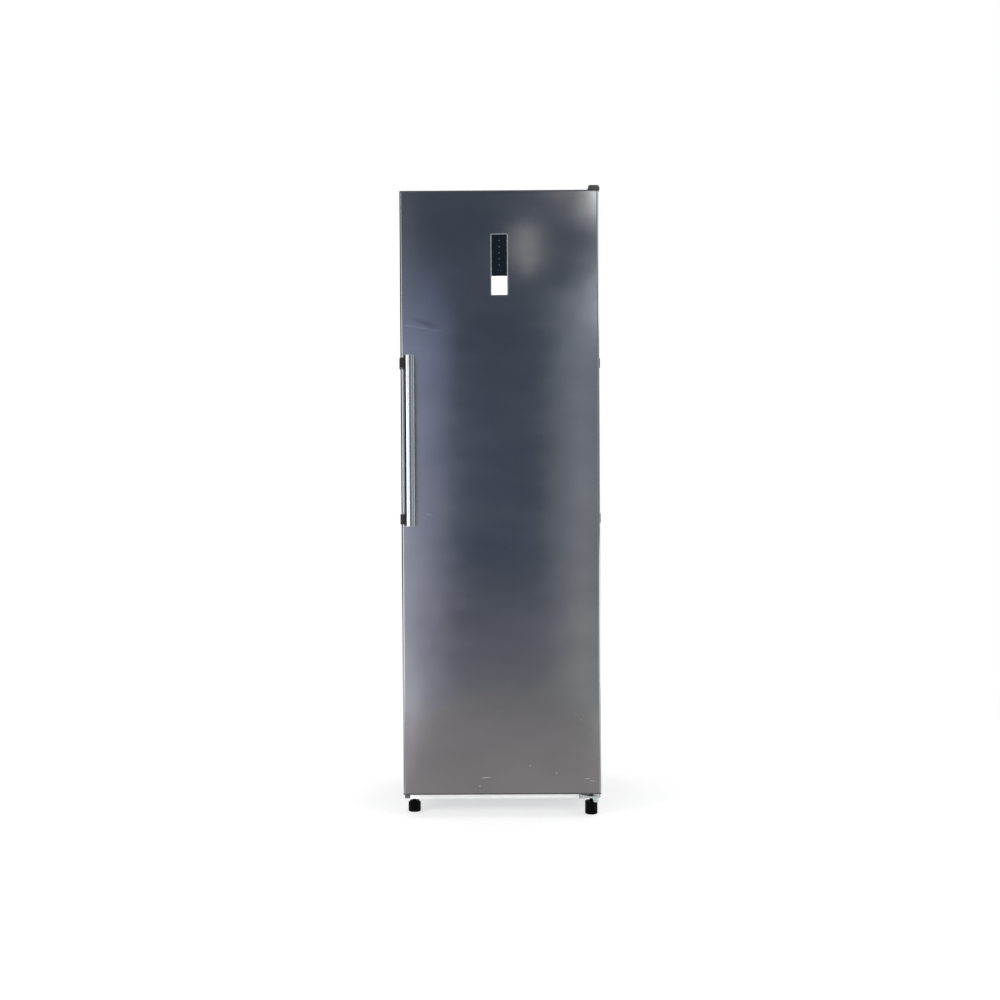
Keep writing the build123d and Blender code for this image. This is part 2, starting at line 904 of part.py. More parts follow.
def fan_motor():
    # Motor can behind the fan, held on the duct by three arms, with its shaft forwards.
    arm_y = cover_back_y + shroud_depth
    can = rod((0, arm_y, fan_z), (0, arm_y + motor_depth, fan_z), motor_radius)
    shaft = rod((0, arm_y, fan_z), (0, arm_y - fan_depth - 4, fan_z), fan_shaft_radius)
    shape = can + shaft
    for turn in range(3):
        angle = math.radians(90 + 120 * turn)
        length = fan_radius + shroud_gap + shroud_wall
        arm = block(0, length, arm_y, arm_y + 3, -3, 3)
        shape += Pos(0, 0, fan_z) * Rot(0, -math.degrees(angle), 0) * arm
    return shape


def evaporator_fan():
    # Five pitched blades on a hub that turns on the motor's shaft.
    front = cover_back_y + shroud_depth - fan_depth - 2
    back = front + fan_depth - 1
    middle = (front + back) / 2
    hub = rod((0, front, fan_z), (0, back, fan_z), fan_hub_radius)
    reach = fan_radius - fan_hub_radius + 4
    shape = hub
    for turn in range(blade_count):
        blade = Pos(fan_hub_radius - 4 + reach / 2, 0, 0) * Box(reach, blade_thickness, 26)
        blade = fillet(blade.edges().filter_by(Axis.Y).group_by(Axis.X)[-1], 8)
        blade = Rot(blade_pitch_angle, 0, 0) * blade
        shape += Pos(0, middle, fan_z) * Rot(0, turn * 360 / blade_count, 0) * blade
    shape -= rod((0, front - 1, fan_z), (0, back + 1, fan_z), fan_shaft_radius + shaft_clearance)
    return shape


def interior_light():
    front = cabinet_front_y + lamp_setback
    lens = block(
        -lamp_length / 2,
        lamp_length / 2,
        front,
        front + lamp_depth,
        cavity_top_z - lamp_height,
        cavity_top_z,
    )
    return fillet(lens.edges().group_by(Axis.Z)[0], 2.5)


# ---- Machine niche and condenser ----


def compressor_base():
    # Cross plate between the side panels, hemmed down at its front and back.
    half = half_width - sheet
    back = cabinet_back_y - 3
    plate = block(-half, half, base_front_y, back, base_bottom_z, base_top_z)
    front_hem = block(
        -half, half, base_front_y, base_front_y + base_thickness, base_top_z - base_hem, base_top_z
    )
    back_hem = block(-half, half, back - base_thickness, back, base_top_z - base_hem, base_top_z)
    shape = plate + front_hem + back_hem
    for x, y in grommet_places():
        shape -= rod((x, y, base_bottom_z - 1), (x, y, base_top_z + 1), grommet_bore)
    return shape


def grommet_places():
    dx = foot_plate_length / 2 - grommet_radius - 3
    dy = foot_plate_width / 2 - grommet_radius - 3
    return [(compressor_x + sx * dx, compressor_y + sy * dy) for sx in (-1, 1) for sy in (-1, 1)]


def compressor_body():
    can = rod(
        (compressor_x, compressor_y, compressor_bottom_z),
        (compressor_x, compressor_y, compressor_top_z),
        compressor_radius,
    )
    ends = can.edges().filter_by(GeomType.CIRCLE)
    return fillet(ends, compressor_radius / 2)


def compressor():
    # Hermetic can with a welded seam, a foot plate and three short tube stubs.
    middle = (compressor_bottom_z + compressor_top_z) / 2
    seam = rod(
        (compressor_x, compressor_y, middle - seam_height / 2),
        (compressor_x, compressor_y, middle + seam_height / 2),
        compressor_radius + seam_width,
    )
    plate = block(
        compressor_x - foot_plate_length / 2,
        compressor_x + foot_plate_length / 2,
        compressor_y - foot_plate_width / 2,
        compressor_y + foot_plate_width / 2,
        foot_plate_z,
        foot_plate_z + 3,
    )
    plate = fillet(plate.edges().filter_by(Axis.Z), 14)
    for x, y in grommet_places():
        plate -= rod((x, y, foot_plate_z - 1), (x, y, foot_plate_z + 4), grommet_bore)
    shape = compressor_body() + seam + plate
    for point in (discharge_stub, suction_stub):
        inner = (point[0] - 30, point[1], point[2])
        shape += rod(inner, point, pipe_radius + 1)
    return shape


stub_x = compressor_x + compressor_radius + stub_reach
discharge_stub = (stub_x, compressor_y + stub_spread, compressor_bottom_z + discharge_rise)
suction_stub = (stub_x, compressor_y - stub_spread, compressor_bottom_z + suction_rise)


def compressor_relay_cover():
    # Plastic box over the start relay on the compressor's left side.
    back_x = compressor_x - compressor_radius
    box = block(
        back_x - relay_width + 12,
        back_x + 30,
        compressor_y - relay_depth / 2,
        compressor_y + relay_depth / 2,
        foot_plate_z + 16,
        foot_plate_z + 16 + relay_height,
    )
    box = fillet(box.edges().group_by(Axis.X)[0], 5)
    keep_out = rod(
        (compressor_x, compressor_y, base_top_z),
        (compressor_x, compressor_y, niche_top_z),
        compressor_radius + seam_width + weld_gap,
    )
    return box - keep_out


def compressor_grommets():
    grommets = []
    for x, y in grommet_places():
        body = rod((x, y, base_top_z), (x, y, foot_plate_z), grommet_radius)
        waist = body.edges().filter_by(GeomType.CIRCLE)
        body = fillet(waist, 2.5)
        neck = rod((x, y, foot_plate_z - 4), (x, y, foot_plate_z + 5), grommet_bore - weld_gap)
        grommets.append(body + neck)
    return group(grommets)


def evaporating_tray():
    # Shallow tray for the defrost water, on top of the compressor.
    low = compressor_top_z + weld_gap
    half_x = tray_length / 2
    half_y = tray_width / 2
    outer = Pos(compressor_x, compressor_y, low) * Box(
        tray_length, tray_width, tray_height, align=(Align.CENTER, Align.CENTER, Align.MIN)
    )
    outer = fillet(outer.edges().filter_by(Axis.Z), 16)
    outer = fillet(outer.edges().group_by(Axis.Z)[0], 6)
    inner = block(
        compressor_x - half_x + tray_wall,
        compressor_x + half_x - tray_wall,
        compressor_y - half_y + tray_wall,
        compressor_y + half_y - tray_wall,
        low + tray_wall,
        low + tray_height + 1,
    )
    inner = fillet(inner.edges().filter_by(Axis.Z), 14)
    return outer - inner


condenser_feed = (condenser_leg_x, condenser_tube_y, condenser_leg_end_z)
condenser_return = (-condenser_leg_x, condenser_tube_y, condenser_leg_end_z)
drier_x = compressor_x - drier_offset
drier_y = cabinet_back_y - drier_setback
drier_bottom = (drier_x, drier_y, base_top_z + drier_rise)
drier_top = (drier_x, drier_y, base_top_z + drier_rise + drier_length)


def filter_drier():
    # Copper can with tapered ends and a short tube at each end.
    z0 = drier_bottom[2]
    z1 = drier_top[2]
    taper = 14
    outline = [
        (0, z0),
        (pipe_radius + 0.6, z0),
        (pipe_radius + 0.6, z0 + 6),
        (drier_radius, z0 + taper),
        (drier_radius, z1 - taper),
        (pipe_radius + 0.6, z1 - 6),
        (pipe_radius + 0.6, z1),
        (0, z1),
    ]
    can = revolve(Plane.XZ * make_face(Polyline(*outline, close=True)), Axis.Z)
    return Pos(drier_x, drier_y, 0) * can


def refrigerant_pipes():
    # Discharge, liquid, capillary and suction lines of the machine niche.
    inside_y = cabinet_back_y - pipe_setback
    roof_z = niche_top_z
    discharge_z = discharge_stub[2]
    capillary_z = drier_top[2] + capillary_rise
    suction_y = suction_stub[1] - suction_offset
    sag_z = base_top_z + liquid_sag
    discharge = bent_tube(
        [
            discharge_stub,
            (stub_x + pipe_step, discharge_stub[1], discharge_z),
            (stub_x + pipe_step, inside_y, discharge_z),
            (condenser_leg_x, inside_y, discharge_z + pipe_step),
            (condenser_leg_x, condenser_tube_y, discharge_z + 2 * pipe_step),
            condenser_feed,
        ],
        8,
        pipe_radius,
    )
    liquid = bent_tube(
        [
            condenser_return,
            (-condenser_leg_x, condenser_tube_y, base_top_z + liquid_drop),
            (-condenser_leg_x, drier_y, sag_z),
            (drier_x, drier_y, sag_z),
            drier_bottom,
        ],
        7,
        pipe_radius,
    )
    capillary = bent_tube(
        [
            drier_top,
            (drier_x, drier_y, capillary_z),
            (drier_x, drier_y - capillary_run, capillary_z),
            (drier_x, drier_y - capillary_run, roof_z),
        ],
        8,
        capillary_radius,
    )
    suction = bent_tube(
        [
            suction_stub,
            (stub_x + suction_run, suction_stub[1], suction_stub[2]),
            (stub_x + suction_run, suction_y, suction_stub[2]),
            (stub_x + suction_run, suction_y, roof_z),
        ],
        10,
        pipe_radius,
    )
    return group([discharge, liquid, capillary, suction])


def control_box():
    # Main electronics box on the niche's front wall.
    half = control_box_width / 2
    box = block(
        control_box_x - half,
        control_box_x + half,
        niche_front_y,
        niche_front_y + control_box_depth,
        base_top_z + 4,
        base_top_z + 4 + control_box_height,
    )
    box = fillet(box.edges().group_by(Axis.Y)[-1], 4)
    lid_y = niche_front_y + control_box_depth - 12
    groove = block(
        control_box_x - half - 1,
        control_box_x + half + 1,
        lid_y,
        lid_y + 1.2,
        base_top_z,
        base_top_z + control_box_height + 8,
    )
    core = block(
        control_box_x - half + 1,
        control_box_x + half - 1,
        lid_y - 1,
        lid_y + 2,
        base_top_z + 5,
        base_top_z + 3 + control_box_height,
    )
    return box - (groove - core)


def mains_inlet():
    # Three-pin appliance inlet on the back of the control box.
    x = control_box_x - 30
    y = niche_front_y + control_box_depth
    z = base_top_z + 34
    low = z - inlet_height / 2
    high = z + inlet_height / 2
    body = block(x - inlet_width / 2, x + inlet_width / 2, y, y + inlet_depth, low, high)
    body = chamfer(body.edges().filter_by(Axis.Y).group_by(Axis.Z)[-1], 5)
    well = block(
        x - inlet_width / 2 + 3,
        x + inlet_width / 2 - 3,
        y + 3,
        y + inlet_depth + 1,
        low + 3,
        high - 3,
    )
    well = chamfer(well.edges().filter_by(Axis.Y).group_by(Axis.Z)[-1], 4)
    flange = block(x - inlet_width / 2 - 7, x + inlet_width / 2 + 7, y, y + 3, low, high)
    shape = body + flange - well
    for dx, dz in ((-7, -3), (7, -3), (0, 4)):
        shape += block(x + dx - 1, x + dx + 1, y + 3, y + inlet_depth - 2, z + dz - 2, z + dz + 2)
    return shape


def condenser_coil():
    # One tube: up the right side, back and forth down the rear, and down the left side.
    right = condenser_width / 2
    points = [(condenser_leg_x, condenser_leg_end_z), (condenser_leg_x, condenser_top_z)]
    for row in range(condenser_rows):
        z = condenser_top_z - row * condenser_pitch
        near = right if row % 2 == 0 else -right
        if row > 0:
            points.append((near, z))
        points.append((-near, z))
    last_z = condenser_top_z - (condenser_rows - 1) * condenser_pitch
    points[-1] = (-condenser_leg_x, last_z)
    points.append((-condenser_leg_x, condenser_leg_end_z))
    path_points = [(x, condenser_tube_y, z) for x, z in points]
    return bent_tube(path_points, condenser_bend, condenser_tube_radius)


def condenser_wires():
    # Vertical wires welded to the front and the back of the tube rows.
    low = condenser_top_z - (condenser_rows - 1) * condenser_pitch - 16
    high = condenser_top_z + 16
    span = condenser_width - 2 * (condenser_bend + clip_width + 4)
    wires = []
    for index in range(wire_count):
        x = -span / 2 + index * span / (wire_count - 1)
        for side in (-1, 1):
            y = condenser_tube_y + side * (condenser_tube_radius + weld_gap + wire_radius)
            wires.append(rod((x, y, low), (x, y, high), wire_radius))
    return group(wires)


def condenser_clips():
    # Plastic standoffs on the rear panel, each hooked on a tube row.
    clips = []
    rows = (1, condenser_rows // 2, condenser_rows - 2)
    clip_x = condenser_width / 2 - condenser_bend - clip_width / 2 - 1
    for row in rows:
        z = condenser_top_z - row * condenser_pitch
        for side in (-1, 1):
            x = side * clip_x
            post = block(
                x - clip_width / 2,
                x + clip_width / 2,
                cabinet_back_y,
                condenser_tube_y + condenser_tube_radius,
                z - clip_height / 2,
                z + clip_height / 2,
            )
            groove = rod(
                (x - clip_width, condenser_tube_y, z),
                (x + clip_width, condenser_tube_y, z),
                condenser_tube_radius + weld_gap,
            )
            clips.append(fillet(post.edges().filter_by(Axis.Y), 3) - groove)
    return group(clips)


# ---- Door ----


def door_section(inset):
    # The door's plan, set in from its outer face, with round front edges.
    x = half_width - inset
    y0 = door_front_y + inset
    y1 = door_back_y - inset
    face = make_face(Polyline((-x, y0), (x, y0), (x, y1), (-x, y1), close=True))
    front = face.vertices().group_by(Axis.Y)[0]
    face = fillet(front, door_edge_radius - inset)
    back = face.vertices().group_by(Axis.Y)[-1]
    return fillet(back, max(door_back_radius - inset, 0.5))


def door_prism(inset, z0, z1):
    return extrude(Plane.XY.offset(z0) * door_section(inset), z1 - z0)


skin_bottom_z = door_bottom_z + door_cap_rim
skin_top_z = door_top_z - door_cap_rim
panel_z = door_top_z - panel_drop
side_screw_places = [door_front_y + side_screw_setback + index * side_screw_pitch for index in range(2)]
side_screw_points = [
    (-half_width - bracket_plate + screw_head_height, y, low + bracket_height / 2)
    for low in bracket_bottoms
    for y in side_screw_places
]
inward = (1, 0, 0)


def side_screw_holes():
    return [screw_hole(point, inward) for point in side_screw_points]


def panel_pocket(grow):
    # The room for the control panel's tray.
    half_x = bezel_width / 2 - bezel_rim / 2 + grow
    half_z = bezel_height / 2 - bezel_rim / 2 + grow
    return block(
        -half_x,
        half_x,
        door_front_y - 1,
        door_front_y + tray_depth + grow,
        panel_z - half_z,
        panel_z + half_z,
    )


def door_skin():
    # Sheet metal front, wrapped round both sides and folded in at the back.
    tube = door_prism(0, skin_bottom_z, skin_top_z) - door_prism(sheet, skin_bottom_z, skin_top_z)
    open_x = half_width - door_return
    opening = block(
        -open_x, open_x, door_back_y - 2 * sheet, door_back_y + 1, skin_bottom_z, skin_top_z
    )
    return cut_all(tube - opening - panel_pocket(0), side_screw_holes() + plug_holes())


def hinge_hole(z0, z1, radius):
    return rod((hinge_x, hinge_y, z0), (hinge_x, hinge_y, z1), radius)


def door_cap(rim_z, direction):
    # Plastic end cap: a visible rim, a skirt inside the skin and the bush for the hinge pin.
    # Direction is +1 where the cap opens upwards into the door and -1 where it opens downwards.
    inner_z = rim_z + direction * door_cap_rim
    skirt_z = inner_z + direction * door_cap_skirt
    bush_z = rim_z + direction * (hinge_pin_depth + 3)
    rim = door_prism(0, min(rim_z, inner_z), max(rim_z, inner_z))
    skirt = door_prism(sheet + skirt_gap, min(inner_z, skirt_z), max(inner_z, skirt_z))
    liner_room = block(
        -half_width,
        half_width,
        door_liner_y - liner_wall - skirt_gap,
        door_back_y,
        min(inner_z, skirt_z),
        max(inner_z, skirt_z),
    )
    bush = hinge_hole(min(inner_z, bush_z), max(inner_z, bush_z), bush_radius)
    bore_end = rim_z + direction * (hinge_pin_depth + 0.5)
    bore_start = rim_z - direction
    bore_radius = hinge_pin_radius + shaft_clearance
    bore = hinge_hole(min(bore_start, bore_end), max(bore_start, bore_end), bore_radius)
    return rim + (skirt - liner_room) + bush - bore


def door_top_cap():
    return door_cap(door_top_z, -1)


def door_bottom_cap():
    return door_cap(door_bottom_z, 1)


def dyke_frame(grow, y0, y1):
    # The ridge on the door's inside, that reaches into the cold space.
    x = cavity_half_width - dyke_clearance - grow
    z0 = cavity_floor_z + dyke_clearance + grow
    z1 = cavity_top_z - dyke_clearance - grow
    width = dyke_width - 2 * grow
    outer = block(-x, x, y0, y1, z0, z1)
    outer = fillet(outer.edges().filter_by(Axis.Y), dyke_corner - grow)
    inner = block(-x + width, x - width, y0 - 1, y1 + 1, z0 + width, z1 - width)
    inner = fillet(inner.edges().filter_by(Axis.Y), dyke_corner)
    return outer - inner


def dyke_field(y0, y1):
    # The raised field inside the ridge.
    x = cavity_half_width - dyke_clearance - dyke_width / 2
    z0 = cavity_floor_z + dyke_clearance + dyke_width / 2
    z1 = cavity_top_z - dyke_clearance - dyke_width / 2
    return block(-x, x, y0, y1, z0, z1)


def dyke(grow):
    base_y = door_liner_y - liner_wall
    ridge = dyke_frame(grow, base_y, cabinet_front_y + dyke_reach - grow)
    ridge_top = ridge.faces().sort_by(Axis.Y)[-1]
    ridge = fillet(ridge_top.edges(), 5 - grow)
    field = dyke_field(base_y, cabinet_front_y - door_panel_setback - grow)
    return ridge + field


def door_liner():
    plate_room = block(
        -half_width, half_width, door_liner_y - liner_wall, door_liner_y, skin_bottom_z, skin_top_z
    )
    plate = door_prism(sheet, skin_bottom_z, skin_top_z) & plate_room
    return plate + dyke(0) - dyke(liner_wall)


def door_foam():
    low = skin_bottom_z + door_cap_skirt
    high = skin_top_z - door_cap_skirt
    liner_room = block(
        -half_width, half_width, door_liner_y - liner_wall, door_back_y, low, high
    )
    body = door_prism(sheet, low, high) - liner_room + dyke(liner_wall)
    for bush_z, direction in ((door_bottom_z, 1), (door_top_z, -1)):
        end = bush_z + direction * (hinge_pin_depth + 3)
        body -= hinge_hole(min(bush_z, end), max(bush_z, end), bush_radius)
    return cut_all(body - panel_pocket(0), side_screw_holes() + plug_holes())


def gasket_ring(inset, width, y0, y1):
    x = half_width - inset
    z0 = door_bottom_z + inset
    z1 = door_top_z - inset
    outer = block(-x, x, y0, y1, z0, z1)
    inner = block(-x + width, x - width, y0 - 1, y1 + 1, z0 + width, z1 - width)
    return outer - inner


def door_gasket():
    # Mitred ring with a foot on the liner, a soft neck and a magnet tube against the cabinet.
    front = door_liner_y
    back = cabinet_front_y - gasket_clearance
    foot = gasket_ring(gasket_inset + 1, gasket_width - 2, front, front + gasket_foot)
    neck_inset = gasket_inset + (gasket_width - gasket_neck) / 2
    neck = gasket_ring(neck_inset, gasket_neck, front + gasket_foot, back - gasket_magnet)
    magnet = gasket_ring(gasket_inset, gasket_width, back - gasket_magnet, back)
    return foot + neck + magnet


# ---- Handle ----


def bar_column(grow, z0, z1):
    section = Ellipse(handle_width / 2 + grow, handle_depth / 2 + grow)
    return extrude(Plane.XY.offset(z0) * Pos(bar_x, bar_y) * section, z1 - z0)


bar_screw_points = [
    (bar_x + 2, door_front_y - bracket_leg_back, low + bracket_height / 2) for low in bracket_bottoms
]
forward = (0, -1, 0)


def bar_screw_holes():
    return [screw_hole(point, forward) for point in bar_screw_points]


def handle_bar():
    bar = bar_column(0, bar_bottom_z, bar_top_z)
    ends = bar.edges().filter_by(lambda e: e.bounding_box().size.Z < 0.1)
    return cut_all(fillet(ends, handle_end_radius), bar_screw_holes())


def handle_bracket(low, chamfer_sign):
    # Moulded arm: a plate on the door's side, an arm forwards and a leg behind the bar.
    outer_x = -half_width - bracket_plate
    arm_x = outer_x + bracket_arm
    outline = [
        (outer_x, door_front_y + bracket_side_length),
        (outer_x, door_front_y + door_edge_radius),
        (outer_x + bracket_lean, door_front_y - bracket_leg_front),
        (bar_x, door_front_y - bracket_leg_front),
        (bar_x + 9, door_front_y - bracket_leg_front + 6),
        (bar_x + 9, door_front_y - bracket_leg_back),
        (arm_x, door_front_y - bracket_leg_back),
        (arm_x, door_front_y + door_edge_radius),
        (1 - half_width, door_front_y + door_edge_radius),
        (1 - half_width, door_front_y + bracket_side_length),
    ]
    arm = profile_up(outline, low, low + bracket_height)
    front_edge = arm.edges().filter_by(Axis.Z).sort_by(lambda e: e.center().X + e.center().Y)[:1]
    arm = fillet(front_edge, bracket_corner)
    arm -= bar_column(bracket_fit, low - 1, low + bracket_height + 1)
    arm -= door_prism(-bracket_fit, low - 1, low + bracket_height + 1)
    corner_z = low if chamfer_sign > 0 else low + bracket_height
    wedge = profile_back(
        [
            (outer_x - 1, corner_z - chamfer_sign),
            (outer_x + bracket_chamfer, corner_z - chamfer_sign),
            (outer_x + bracket_chamfer, corner_z),
            (outer_x, corner_z + chamfer_sign * bracket_chamfer),
            (outer_x - 1, corner_z + chamfer_sign * bracket_chamfer),
        ],
        handle_front_y,
        door_front_y - 1,
    )
    return arm - wedge


def handle_brackets():
    arms = [handle_bracket(bracket_bottoms[0], -1), handle_bracket(bracket_bottoms[1], 1)]
    tools = side_screw_holes() + bar_screw_holes()
    for point in side_screw_points:
        seat = Vector(*point)
        outside = (seat.X - screw_head_height - 1, seat.Y, seat.Z)
        tools.append(rod(outside, point, screw_head_radius + screw_clearance))
    return group([cut_all(arm, tools) for arm in arms])


def handle_screws():
    screws = [screw(point, inward) for point in side_screw_points]
    screws += [screw(point, forward) for point in bar_screw_points]
    return group(screws)


def plug_holes():
    holes = []
    for x, y, z in side_screw_points:
        holes.append(rod((half_width + 1, y, z), (half_width - 9, y, z), screw_radius + screw_clearance))
    return holes


def side_hole_plugs():
    # Cover plates with two pegs each, over the holes for a handle on the other side.
    plates = []
    for low in bracket_bottoms:
        plate = block(
            half_width,
            half_width + plug_thickness,
            door_front_y + door_edge_radius + 1,
            door_front_y + door_edge_radius + 1 + plug_length,
            low,
            low + bracket_height,
        )
        plate = fillet(plate.edges().filter_by(Axis.X), 3)
        plate = fillet(plate.edges().group_by(Axis.X)[-1], plug_thickness / 3)
        for y in side_screw_places:
            z = low + bracket_height / 2
            plate += rod((half_width, y, z), (half_width - 8, y, z), screw_radius)
        plates.append(plate)
    return group(plates)


# ---- Control panel ----

inner_half_x = bezel_width / 2 - bezel_rim
inner_half_z = bezel_height / 2 - bezel_rim
window_top_z = panel_z + inner_half_z - glass_height
lens_front_y = door_front_y - bezel_proud + glass_recess
lens_back_y = lens_front_y + glass_depth
tray_back_y = door_front_y + tray_depth
board_y = door_front_y + board_setback


def panel_bezel():
    # Metal-look frame, with a tray behind it that holds the glass and the board.
    rim = block(
        -bezel_width / 2,
        bezel_width / 2,
        door_front_y - bezel_proud,
        door_front_y,
        panel_z - bezel_height / 2,
        panel_z + bezel_height / 2,
    )
    rim = fillet(rim.edges().filter_by(Axis.Y), bezel_corner)
    rim = fillet(rim.edges().group_by(Axis.Y)[0], bezel_proud / 2)
    body = panel_pocket(0) & block(
        -half_width, half_width, door_front_y, tray_back_y, door_bottom_z, door_top_z
    )
    lens_room = block(
        -inner_half_x,
        inner_half_x,
        door_front_y - bezel_proud - 1,
        lens_back_y,
        panel_z - inner_half_z,
        panel_z + inner_half_z,
    )
    room_x = inner_half_x - ledge_width
    room_z = inner_half_z - ledge_width
    tray_room = block(
        -room_x, room_x, lens_back_y - 1, tray_back_y - tray_skin, panel_z - room_z, panel_z + room_z
    )
    shape = rim + body - lens_room - tray_room
    for x in (-room_x + board_margin, room_x - board_margin):
        for z in (panel_z - room_z + 2 * board_margin, panel_z + room_z - 2 * board_margin):
            shape += rod((x, tray_back_y - tray_skin, z), (x, board_y + board_thickness, z), 2.5)
    return shape


def panel_glass():
    pane = block(
        -inner_half_x, inner_half_x, lens_front_y, lens_back_y, window_top_z, panel_z + inner_half_z
    )
    return chamfer(pane.edges().group_by(Axis.Y)[0], 0.3)


def display_window():
    pane = block(
        -inner_half_x, inner_half_x, lens_front_y, lens_back_y, panel_z - inner_half_z, window_top_z
    )
    return chamfer(pane.edges().group_by(Axis.Y)[0], 0.3)


def control_board():
    # Circuit board on four pegs, with a segment display and touch springs towards the glass.
    room_x = inner_half_x - ledge_width - 0.5
    room_z = inner_half_z - ledge_width - 0.5
    board = block(
        -room_x, room_x, board_y, board_y + board_thickness, panel_z - room_z, panel_z + room_z
    )
    display = block(
        -14, 14, board_y - 5, board_y, panel_z - room_z + 12, window_top_z - 12
    )
    board += display
    spring_pitch = 18
    for index in range(5):
        z = panel_z + inner_half_z - 22 - index * spring_pitch
        board += rod((0, board_y, z), (0, board_y - 4, z), 4)
    return board


# ---- Hinges ----


def hinge_plate_shape(grow):
    # The upper hinge arm, with a sloped wing to its left.
    left = hinge_x - hinge_plate_half_width
    right = hinge_x + hinge_plate_half_width
    front = hinge_y - hinge_inset_x
    rear = cabinet_front_y + hinge_plate_rear
    low = cabinet_top_z
    high = cabinet_top_z + hinge_plate
    arm = block(left - grow, right + grow, front - grow, rear + grow, low, high + grow)
    slope = [
        (left - hinge_wing, low),
        (left - hinge_wing, low + 1),
        (left - hinge_wing + 9, high + grow),
        (left, high + grow),
        (left, low),
    ]
    wing = profile_back(slope, front + hinge_wing - grow, cabinet_front_y + hinge_wing + grow)
    return arm + wing


def top_hinge_bracket():
    # Steel arm on the cabinet's top, with the upper hinge pin pointing down into the door.
    plate = hinge_plate_shape(0)
    front_edges = plate.edges().filter_by(Axis.Z).sort_by(lambda e: e.center().Y)[:2]
    plate = fillet(front_edges, 8)
    head_z = cabinet_top_z + hinge_plate + 3
    pin = hinge_hole(door_top_z - hinge_pin_depth, head_z, hinge_pin_radius)
    head = hinge_hole(cabinet_top_z + hinge_plate, head_z, hinge_pin_radius + 3)
    return cut_all(plate + pin + head, top_screw_holes())


def top_hinge_cover():
    # Moulded cover over the upper hinge arm, open below, with a sloped right flank.
    low = cabinet_top_z
    high = cabinet_top_z + hinge_cover_height
    left = hinge_x - cover_left_margin
    right = half_width + cover_right_margin
    front = door_front_y + cover_front_setback
    rear = cabinet_front_y + hinge_plate_rear + 8

    def cover_outline(wall):
        return [
            (left + wall, low if wall == 0 else low - 1),
            (left + wall, high - 3),
            (left + 3, high - wall),
            (right - 5, high - wall),
            (right - wall, high - 6),
            (right - wall, low if wall == 0 else low - 1),
        ]

    outer = profile_back(cover_outline(0), front, rear)
    inner = profile_back(cover_outline(cover_shell), front + cover_shell, rear - cover_shell)
    return outer - inner - hinge_plate_shape(bracket_fit)


def bottom_hinge_bracket():
    # Zinc-plated angle with the lower pin, its collar and nut, and the nut for the right foot.
    right = half_width - 0.5
    flange_y = cabinet_front_y - rail_thickness
    plate_top = bottom_plate_z
    plate_low = bottom_plate_z - bottom_plate
    flange_low = cabinet_bottom_z - 2
    flange_high = flange_low + bottom_bracket_height
    notch_x = right_foot[0] - foot_radius - 1
    flange = block(bracket_left_x, right, flange_y - bottom_plate, flange_y, flange_low, flange_high)
    flange -= block(notch_x, right + 1, flange_y - bottom_plate, flange_y, flange_low, cabinet_bottom_z)
    front = hinge_y - hinge_inset_x
    outline = [
        (bracket_left_x, flange_y),
        (bracket_left_x, flange_y - 16),
        (right_foot[0] - 14, front + 4),
        (hinge_x - 9, front),
        (right, front),
        (right, flange_y),
    ]
    plate = profile_up(outline, plate_low, plate_top)
    uprights = plate.edges().filter_by(Axis.Z).filter_by(lambda e: e.center().Y < flange_y - 20)
    plate = fillet(uprights, 6)
    pin_top = door_bottom_z + hinge_pin_depth
    pin = hinge_hole(plate_low, pin_top, hinge_pin_radius)
    collar = hinge_hole(plate_top, door_bottom_z - running_gap, collar_radius)
    nut_plane = Plane.XY.offset(plate_low - nut_height)
    pin_nut_plane = Plane.XY.offset(plate_low - pin_nut_height)
    nut = extrude(pin_nut_plane * Pos(hinge_x, hinge_y) * RegularPolygon(nut_radius, 6), pin_nut_height)
    foot_nut = extrude(nut_plane * Pos(*right_foot) * RegularPolygon(foot_nut_radius, 6), nut_height)
    shape = flange + plate + pin + collar + nut + foot_nut
    thread = rod(
        (*right_foot, plate_low - nut_height - 1),
        (*right_foot, plate_top + 1),
        foot_stud_radius + thread_clearance,
    )
    return cut_all(shape - thread, bottom_screw_holes())


def hinge_screws():
    screws = [screw(point, down) for point in top_screw_points]
    screws += [screw(point, backward) for point in bottom_screw_points]
    return group(screws)


# ---- Feet and rollers ----


def levelling_foot(place, barrel_height, shoulder_radius, collar_height):
    # Black foot on a threaded stud. Turning it raises or lowers the corner.
    x, y = place
    barrel = rod((x, y, 0), (x, y, barrel_height), foot_radius)
    rims = barrel.edges().filter_by(GeomType.CIRCLE).sort_by(Axis.Z)
    barrel = fillet(rims[0], foot_edge_radius)
    rims = barrel.edges().filter_by(GeomType.CIRCLE).sort_by(Axis.Z)
    barrel = fillet(rims[-1], shoulder_radius)
    collar_top = barrel_height + collar_height
    if collar_height > 0:
        barrel += rod((x, y, barrel_height), (x, y, collar_top), foot_collar_radius)
    return barrel + rod((x, y, collar_top), (x, y, foot_stud_top), foot_stud_radius)


def roller_places():
    x = half_width - roller_inset_x
    return [(-x, roller_y, roller_radius), (x, roller_y, roller_radius)]


def roller_brackets():
    # A forked bracket under the base plate at each rear corner, with its axle.
    forks = []
    for x, y, z in roller_places():
        inner = roller_width / 2 + cheek_gap
        outer = inner + cheek_thickness
        top = base_bottom_z
        shape = block(
            x - outer, x + outer, y - cheek_half_length - 6, y + cheek_half_length + 6, top - 3, top
        )
        for side in (-1, 1):
            near = x + side * inner
            far = x + side * outer
            shape += block(
                min(near, far), max(near, far), y - cheek_half_length, y + cheek_half_length, z - 9, top - 3
            )
        shape += rod((x - outer - 2, y, z), (x + outer + 2, y, z), axle_radius)
        forks.append(shape)
    return group(forks)


